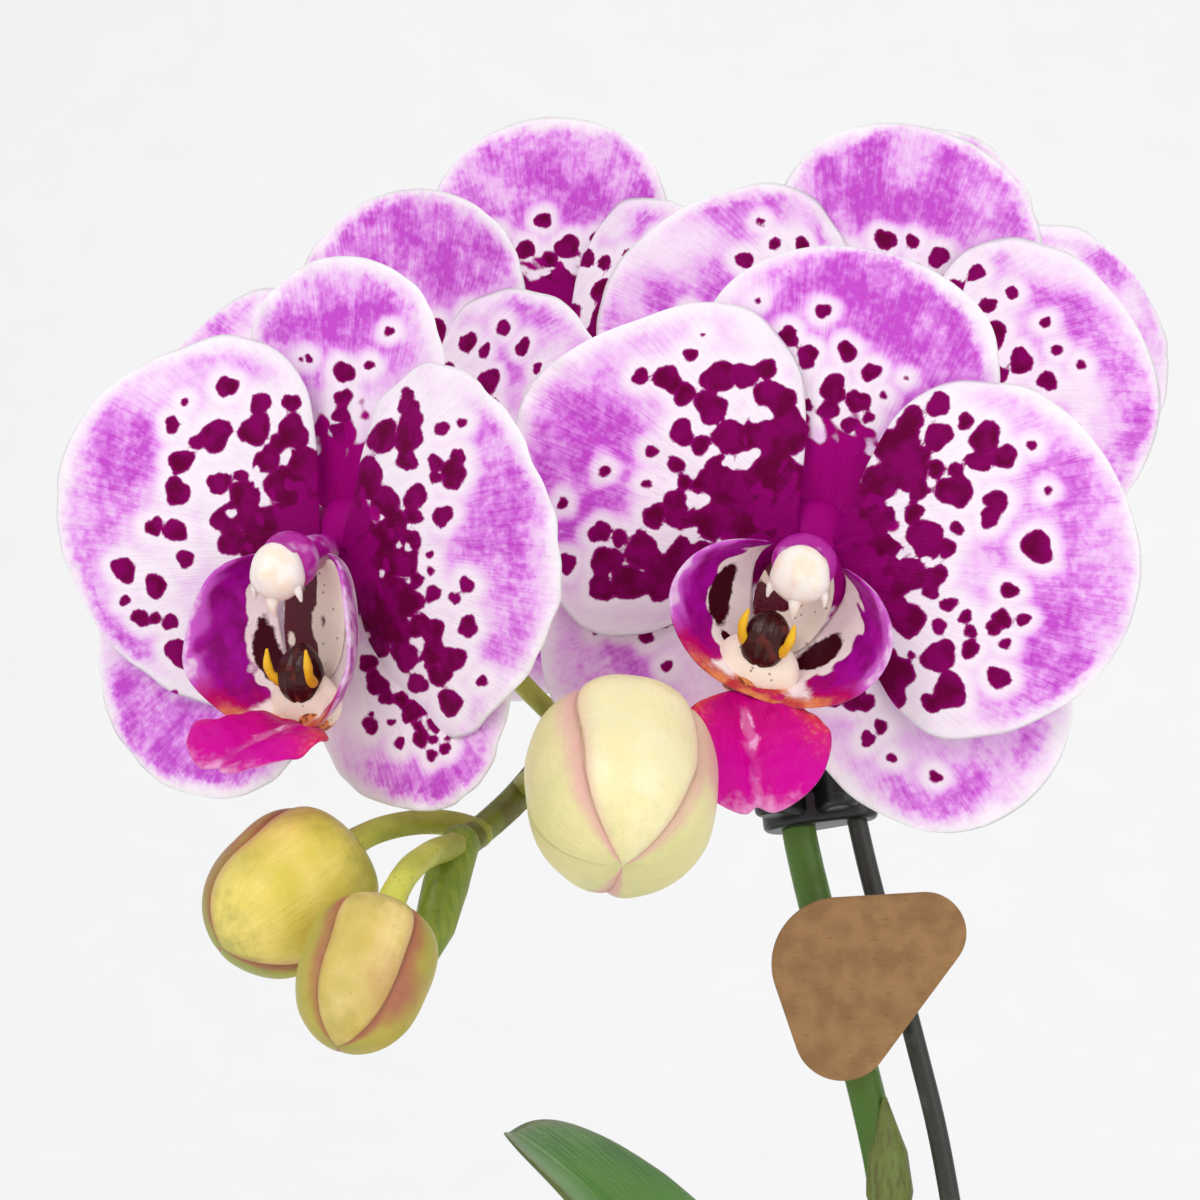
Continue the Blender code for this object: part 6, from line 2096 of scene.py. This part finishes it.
@dataclass(frozen=True)
class Leaf:
    """A strap leaf: its direction off the rank, half width, and spine outwards and up."""

    name: str
    direction: float
    half_width: float
    spine: tuple[tuple[float, float], ...]
    rank: float = 158.0
    thickness: float = 2.0

    def build(self) -> Piece:
        """Build the leaf.

        Its spine is a cubic Bezier curve. Its width grows as 1 - exp(-((t + 0.1) / 0.28)^1.4) and
        its sides fold up from the midrib, less so towards the rim and the tip.

        Returns:
            The finished piece.
        """
        rows, columns = 120, 46
        p, q = disc_grid(rows, columns)
        t = (p + 1) / 2
        turn = math.radians(self.rank + self.direction)
        outwards = np.array((math.cos(turn), math.sin(turn), 0))
        side = np.array((-math.sin(turn), math.cos(turn), 0))
        spine = bezier(np.array(self.spine), t)
        run = unit(bezier(np.array(self.spine), np.minimum(t + 0.02, 1))
                   - bezier(np.array(self.spine), np.maximum(t - 0.02, 0)))
        fullness = (1.02 - p * p) ** -0.16
        width = q * fullness * self.half_width * (1 - np.exp(-((t + 0.10) / 0.28) ** 1.4))
        fold = np.sqrt(width**2 + 0.4) * (0.34 + 0.35 * (1 - t) ** 3) - 0.006 * width * width
        own = np.stack([width, t * 140], axis=-1)
        fold = fold + 0.35 * waves(own, 26.0, 200 + int(self.half_width)) * np.abs(q)
        fold = fold - 0.55 * np.exp(-((width / 1.3) ** 2)) * ease(t, 0.02, 0.15) * ease(t, 1.0, 0.8)
        up = np.array((0, 0, 1.0))
        middle = (
            np.array((0, 4.0, 0.0)) + outwards * (spine[..., :1] - (fold * run[..., 1])[..., None])
            + side * width[..., None] + up * (spine[..., 1:] + (fold * run[..., 0])[..., None])
        )
        edge = np.sqrt(np.minimum(p * p + q * q, 1))
        marks = {
            "midrib": np.exp(-((width / 1.1) ** 2)),
            "rim": (1 - edge) * self.half_width,
            "along": t,
        }
        half = blade_half(rows, columns, self.thickness / 2 - 0.02)
        fan = np.stack([width * 0.9 + 40 * self.half_width, t * 60], axis=-1)
        surface, chart = blade(middle, half, marks, fan, (0, 0, 1))
        return Piece(f"{self.name}_blade", surface, Finish.LEAF, (self.name,), "leaf", chart)


LEAVES = (
    Leaf("leaf_1", 174.0, 24.0, ((8.05, 84.5), (42.0, 118.0), (88.0, 134.0), (132.0, 104.0))),
    Leaf("leaf_2", -10.0, 25.0, ((7.9, 88.5), (38.0, 130.0), (84.0, 152.0), (134.0, 132.0))),
    Leaf("leaf_3", 0.0, 20.0, ((7.9, 94.6), (22.0, 131.0), (45.0, 180.5), (81.0, 200.5))),
    Leaf("leaf_4", 182.0, 21.0, ((6.75, 98.5), (20.0, 135.0), (46.0, 172.0), (82.0, 184.0))),
    Leaf("leaf_5", 12.0, 12.0, ((7.4, 103.5), (12.0, 122.0), (17.0, 148.0), (30.0, 168.0))),
)

ROOTS = (
    ((2.0, 5.0, 88.0), (15.0, 10.0, 89.0), (26.0, 15.0, 85.0), (32.0, 19.0, 76.0), (33.0, 20.0, 64.0)),
    ((-1.0, 6.0, 85.0), (-5.0, 20.0, 88.5), (-11.0, 30.0, 85.0), (-15.0, 35.0, 76.0), (-16.0, 36.0, 63.0)),
    ((2.0, 2.0, 84.0), (9.0, -11.0, 87.0), (15.0, -22.0, 84.0), (17.0, -28.0, 75.0), (17.0, -29.0, 63.0)),
    ((-2.0, 3.0, 85.0), (-16.0, -2.0, 88.0), (-27.0, -9.0, 85.0), (-32.0, -14.0, 76.0),
     (-33.0, -15.0, 64.0)),
    ((1.0, 6.0, 90.0), (8.0, 22.0, 94.0), (14.0, 38.0, 98.5), (19.0, 51.0, 98.0), (22.0, 59.0, 88.0),
     (23.0, 62.0, 70.0)),
)


@dataclass(frozen=True)
class Crown:
    """The short stem that carries the leaves, with its air roots."""

    x: float = 0.0
    y: float = 4.0
    radius: float = 7.0
    taper: float = 0.7
    bottom: float = 70.0
    top: float = 109.0
    root_radius: float = 2.1

    def build(self) -> Piece:
        """Build the crown and its roots, each root a tube of its own slightly uneven thickness.

        Returns:
            The finished piece.
        """
        share = np.linspace(0, 1, 40)
        rings = 0.22 * np.abs(np.sin(share * math.pi * 6)) * ease(share, 0.3, 0.6)
        radii = self.radius * (1 - (1 - self.taper) * share) - 0.25 + rings
        heights = self.bottom + (self.top - self.bottom) * share
        heights = np.unique(np.clip(heights, self.bottom + 0.5, self.top - 4.5))
        line = np.stack([np.full_like(heights, self.x), np.full_like(heights, self.y), heights], axis=-1)
        parts = [swept(line, radii[:len(line)], 36, caps=6).marked(sheath=1.0)]
        for number, through in enumerate(ROOTS):
            path = smooth_path(through, 84)
            share = np.linspace(0, 1, 84)
            own = np.stack([share * 60, np.full(84, number * 20.0)], axis=-1)
            radius = self.root_radius * (1 + 0.06 * waves(own, 7.0, 300 + number))
            radius = radius * np.interp(share, (0, 0.93, 1), (1, 1, 0.72))
            root = swept(path, radius, 20, caps=5)
            if through is ROOTS[-1]:
                root = root.marked(growing=ease(root.marks["along"] / root.marks["along"].max(), 0.9, 0.97))
            parts.append(root)
        whole = Surface.joined(parts)
        return Piece("crown_and_air_roots", whole, Finish.ROOT, ("crown_and_roots",), "root")


@dataclass(frozen=True)
class Pot:
    """A plain turned pot: foot, flared wall, upright rim and flat underside."""

    height: float = 92.0
    floor: float = 6.0

    def profile(self) -> Array:
        """Return the pot's section as radius and height, from the inside floor round to the underside.

        Straight runs joined by quarter rounds at the rim, under the rim and at the foot.

        Returns:
            The section's points, as count, 2.
        """
        def arc(x: float, z: float, radius: float, start: float, end: float) -> Array:
            """Return the points of an arc about x, z from one angle to another, in degrees."""
            angle = np.radians(np.linspace(start, end, 9))
            return np.stack([x + radius * np.cos(angle), z + radius * np.sin(angle)], axis=-1)

        return np.concatenate([
            [(0.6, self.floor), (20.0, self.floor)],
            arc(31.0, 9.0, 3.0, -90, -15),
            [(40.0, 40.0), (47.0, 79.0), (47.0, 84.0)],
            arc(48.7, 90.3, 1.7, 180, 90),
            arc(50.3, 90.3, 1.7, 90, 0),
            [(52.0, 86.0)],
            arc(50.6, 80.6, 1.4, 0, -80),
            [(49.4, 78.9), (48.5, 77.4)],
            [(46.0, 59.5), (43.3, 40.0), (40.6, 20.6)],
            arc(36.3, 1.7, 1.7, 8, -90),
            [(33.5, 0.0), (33.0, 0.5), (31.5, 0.5), (31.0, 0.0), (16.0, 0.0), (0.6, 0.0)],
        ])

    def build(self) -> Piece:
        """Turn the section round the pot's axis, with faint throwing rings in its wall.

        Returns:
            The finished piece.
        """
        profile = self.profile()
        lengths = np.concatenate([[0], np.cumsum(np.linalg.norm(np.diff(profile, axis=0), axis=1))])
        steps = np.unique(np.concatenate([lengths, np.arange(0, lengths[-1], 1.6)]))
        fine = np.stack([np.interp(steps, lengths, profile[:, k]) for k in range(2)], axis=-1)
        wall = (fine[:, 0] > 38) & (fine[:, 1] > 8) & (fine[:, 1] < 74)
        fine[:, 0] -= 0.05 * (1 - np.cos(fine[:, 1] * 2.1)) * wall
        surface = spindle(fine[::-1], 160)
        height, radius = surface.points[:, 2], np.hypot(surface.points[:, 0], surface.points[:, 1])
        foot = ease(height, 0.9, 0.3) * (radius > 2) * (height < 1.5)
        return Piece("pot_body", surface.marked(foot=foot), Finish.GLAZE, ("pot",), "pot_glaze",
                     sharp_angle=50)


@dataclass(frozen=True)
class Bark:
    """Potting bark: a plug that fills the pot under a bed of loose chips."""

    bottom: float = 9.3
    top: float = 79.0
    chips: int = 170
    seed: int = 11

    def plug(self) -> Surface:
        """Turn the plug: just inside the pot's wall, with a lumpy top.

        Returns:
            The closed surface, with the mark tone.
        """
        profile = [(0.5, self.bottom), (20.0, self.bottom), (33.5, self.bottom), (36.3, 24.0), (40.0, 44.0),
                   (46.3, 76.5), (45.2, 78.2)]
        profile += [(radius, self.top - 0.6) for radius in np.linspace(43.5, 0.8, 34)]
        surface = spindle(profile, 96)
        points = surface.points
        high = ease(points[:, 2], 77.5, 78.3)
        points[:, 2] += 0.9 * high * waves(points[:, :2], 6.0, 12)
        return surface.marked(tone=0.1)

    def chip(self, draw: np.random.Generator, place: Array, size: Array) -> Surface:
        """Build one chip: a ball pushed towards a block, with waves broken into its faces.

        Args:
            draw: the seeded source of chance.
            place: the chip's middle.
            size: its length, width and height.

        Returns:
            The closed surface, with its own tone.
        """
        ball = egg((0, 0, 0), (1, 1, 1), 7, 12)
        points = ball.points
        boxy = points / (np.abs(points) ** 4).sum(axis=1, keepdims=True) ** 0.25
        boxy = boxy * (1 + 0.1 * waves(boxy, 1.1, int(draw.integers(1 << 30)), 6))[:, None] * size / 2
        lean = draw.uniform(-0.4, 0.4, 2)
        turn = Matrix.Rotation(draw.uniform(0, TAU), 3, "Z")
        turn = turn @ Matrix.Rotation(lean[0], 3, "X") @ Matrix.Rotation(lean[1], 3, "Y")
        points = boxy @ np.array(turn).T + place
        points[:, 2] = np.minimum(points[:, 2], self.top + 5.0)
        return replace(ball, points=points).marked(tone=draw.uniform(0.1, 1.0))

    def build(self) -> Piece:
        """Build the plug and lay the chips over it in a sunflower's spiral, clear of the crown.

        Returns:
            The finished piece.
        """
        draw = np.random.default_rng(self.seed)
        parts = [self.plug()]
        for number in range(self.chips):
            ring = 9.5 + 32.5 * math.sqrt((number + 0.5) / self.chips)
            angle = GOLDEN_ANGLE * number
            length, width = draw.uniform(7, 13), draw.uniform(5, 8)
            size = np.array((length, width, draw.uniform(2.6, 4.6)))
            ring = min(ring, 44.6 - length / 2)
            height = self.top - 0.4 + draw.uniform(-0.6, 1.4) + 0.6 * (number % 3)
            place = np.array((ring * math.cos(angle), ring * math.sin(angle), height))
            parts.append(self.chip(draw, place, size))
        whole = Surface.joined(parts)
        return Piece("bark_plug_and_chips", whole, Finish.BARK, ("potting_bark",), "bark",
                     sharp_angle=60)


@dataclass(frozen=True)
class Support:
    """The plastic stake, the clip that holds the spike to it, and the bare tag on its holder."""

    clip_centre: float = 252.0
    clip_height: float = 9.0
    tag_centre: Point = (-26.6, -6.4, 228.6)
    tag_discs: tuple[Point, ...] = ((-3.5, 2.5, 9.0), (8.0, 6.7, 5.5), (-3.0, -6.7, 6.5))
    tag_thickness: float = 0.9
    holder_radius: float = 2.9
    holder_height: float = 6.0

    def stake(self) -> Piece:
        """Sweep the stake, with its rounded top and two faint mould lines.

        Returns:
            The finished piece.
        """
        path = smooth_path(STAKE_THROUGH, 150)
        angle = np.linspace(0, TAU, 28, endpoint=False)
        seams = 0.07 * sum(np.exp(-((angle - 1.2 - turn) / 0.12) ** 2) for turn in (0, math.pi))
        relief = np.broadcast_to(seams, (150, 28))
        surface = swept(path, np.full(150, STAKE_RADIUS - 0.03), 28, caps=6, relief=relief)
        return Piece("stake_rod", surface, Finish.STAKE, ("support_stake",), "black_plastic")

    def clip(self) -> Piece:
        """Build the clip: two round-edged collars and two finger tabs with grips.

        Returns:
            The finished piece.
        """
        on_spike, direction = at_height(smooth_path(SPIKE_THROUGH, 400), self.clip_centre)
        on_stake, _ = at_height(smooth_path(STAKE_THROUGH, 400), self.clip_centre)
        turn = frame_along(on_spike, direction)
        local = turn.inverted() @ Vector(on_stake)
        parts = []
        for level in (-2.35, 2.35):
            around = [(0, 0, 4.6), (local.x, local.y, 3.2)]
            collar = plate(outline_round(around, 64), self.clip_height / 2 - 0.1, 0.8)
            parts.append(collar.moved(turn @ Matrix.Translation((0, 0, level))))
        core = plate(outline_round([(0, 0, 4.1), (local.x, local.y, 2.8)], 64), self.clip_height - 1, 0.5)
        parts.append(core.moved(turn))
        for x in (-3.5, local.x * 0.75):
            outline = outline_round([(local.x / 3, 0, 1.4), (x, -7.5, 2.4)], 48)
            parts.append(plate(outline, self.clip_height - 2, 0.9).moved(turn))
            for level in (-1.8, 0.0, 1.8):
                grip = egg((x, -8.9, level), (1.7, 1.15, 0.42), 8, 16)
                parts.append(grip.moved(turn))
        whole = Surface.joined(parts)
        return Piece("clip_collars_and_tabs", whole, Finish.CLIP, ("stem_clip",),
                     "black_plastic", sharp_angle=45)

    def tag(self) -> list[Piece]:
        """Build the bare tag, cut from board with softened edges, and the ring and pad behind it.

        Returns:
            The tag and its holder.
        """
        upright = Matrix.Translation(self.tag_centre) @ Matrix.Rotation(math.radians(90), 4, "X")
        board = plate(outline_round(list(self.tag_discs), 140), self.tag_thickness, 0.2, 3)
        centre, direction = at_height(smooth_path(STAKE_THROUGH, 400), self.tag_centre[2])
        ring = plate(outline_round([(0, 0, self.holder_radius)], 48), self.holder_height, 0.5)
        back = self.tag_centre[1] + self.tag_thickness / 2 + GAP
        depth = centre[1] - STAKE_RADIUS - back
        corners = [(-2.6, -3.1, 0.4), (2.6, -3.1, 0.4), (2.6, 3.1, 0.4), (-2.6, 3.1, 0.4)]
        pad = plate(outline_round(corners, 48), depth, 0.25, 3)
        place = Matrix.Translation((centre[0], back + depth / 2, centre[2]))
        pad = pad.moved(place @ Matrix.Rotation(math.radians(90), 4, "X"))
        holder = Surface.joined([ring.moved(frame_along(centre, direction)), pad])
        return [
            Piece("tag_board", board.moved(upright), Finish.KRAFT, ("tag",), "kraft",
                  sharp_angle=45),
            Piece("tag_ring_and_pad", holder, Finish.STAKE, ("tag_holder",),
                  "black_plastic", sharp_angle=45),
        ]

    def build(self) -> list[Piece]:
        """Return the stake, the clip, the tag and its holder."""
        return [self.stake(), self.clip(), *self.tag()]


@dataclass(frozen=True)
class Studio:
    """The pale sweep of paper, the soft lights and the camera."""

    lens: float = 134.16
    camera_place: Point = (-62.0, -598.73, 321.27)
    camera_tilt: float = 86.0
    bend: float = 0.9
    sky: float = 0.72
    flowers: Point = (-0.05, -0.05, 0.28)

    def sweep(self) -> None:
        """Lay the paper: flat underfoot, then up behind in a wide curve."""
        turn = np.linspace(0.1, 1.5708, 14)
        along = np.concatenate([[-2.5, 0.0, 0.6], 0.6 + self.bend * np.sin(turn), [1.5]])
        height = np.concatenate([[0.0, 0.0, 0.0], self.bend - self.bend * np.cos(turn), [4.0]])
        rows = len(along)
        points = np.zeros((rows, 2, 3))
        points[:, :, 0] = (-4.0, 4.0)
        points[:, :, 1] = along[:, None]
        points[:, :, 2] = height[:, None] - 0.0002
        index = np.arange(rows * 2).reshape(rows, 2)
        faces = np.stack((index[:-1, 0], index[:-1, 1], index[1:, 1], index[1:, 0]), axis=-1)
        mesh = bpy.data.meshes.new("paper_sweep")
        mesh.from_pydata(points.reshape(-1, 3).tolist(), [], faces.tolist())
        mesh.shade_smooth()
        mesh.materials.append(Finish.STUDIO.material())
        paper = bpy.data.objects.new("paper_sweep", mesh)
        bpy.context.scene.collection.objects.link(paper)

    def light(self, name: str, place: Point, aim: Point, size: float, power: float) -> None:
        """Hang a square soft light.

        Args:
            name: the light's name.
            place: where it hangs, in metres.
            aim: the point that it faces, in metres.
            size: the length of its sides, in metres.
            power: its power in watts.
        """
        lamp = bpy.data.lights.new(name, "AREA")
        lamp.size = size
        lamp.energy = power
        holder = bpy.data.objects.new(name, lamp)
        holder.location = place
        holder.rotation_euler = (Vector(aim) - Vector(place)).to_track_quat("-Z", "Y").to_euler()
        bpy.context.scene.collection.objects.link(holder)

    def camera(self) -> None:
        """Stand the camera where the photograph was taken from."""
        lens = bpy.data.cameras.new("camera")
        lens.lens = self.lens
        lens.sensor_width = 36.0
        lens.clip_start = 0.05
        holder = bpy.data.objects.new("camera", lens)
        holder.location = Vector(self.camera_place) * MM
        holder.rotation_euler = (math.radians(self.camera_tilt), 0, 0)
        bpy.context.scene.collection.objects.link(holder)
        bpy.context.scene.camera = holder

    def build(self) -> None:
        """Set up the paper, the lights and the camera."""
        self.sweep()
        world = bpy.data.worlds.new("studio")
        bpy.context.scene.world = world
        world.use_nodes = True
        sky = world.node_tree.nodes["Background"]
        sky.inputs["Color"].default_value = (1.0, 1.0, 1.0, 1.0)
        sky.inputs["Strength"].default_value = self.sky
        self.light("key", (-0.9, -1.3, 1.5), self.flowers, 1.0, 11.0)
        self.light("fill", (1.1, -1.2, 0.7), self.flowers, 1.2, 5.5)
        self.light("back", (0.2, 0.9, 1.3), self.flowers, 0.9, 4.0)
        self.camera()
        bpy.context.scene.view_settings.view_transform = "Standard"


def main() -> None:
    """Build every piece in order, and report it."""
    logging.basicConfig(level=logging.INFO, format="%(name)s: %(message)s")
    pieces: list[Piece] = []
    for bloom in BLOOMS:
        pieces += bloom.build()
    pieces += [bud.build() for bud in BUDS]
    pieces.append(Spike().build())
    pieces += [leaf.build() for leaf in LEAVES]
    pieces += [Crown().build(), Bark().build(), Pot().build()]
    pieces += Support().build()
    for piece in pieces:
        piece.place()
    Studio().build()
    LOG.info("%d pieces stand for %d nodes", len(pieces), len(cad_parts))
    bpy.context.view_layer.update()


if __name__ == "__main__":
    main()
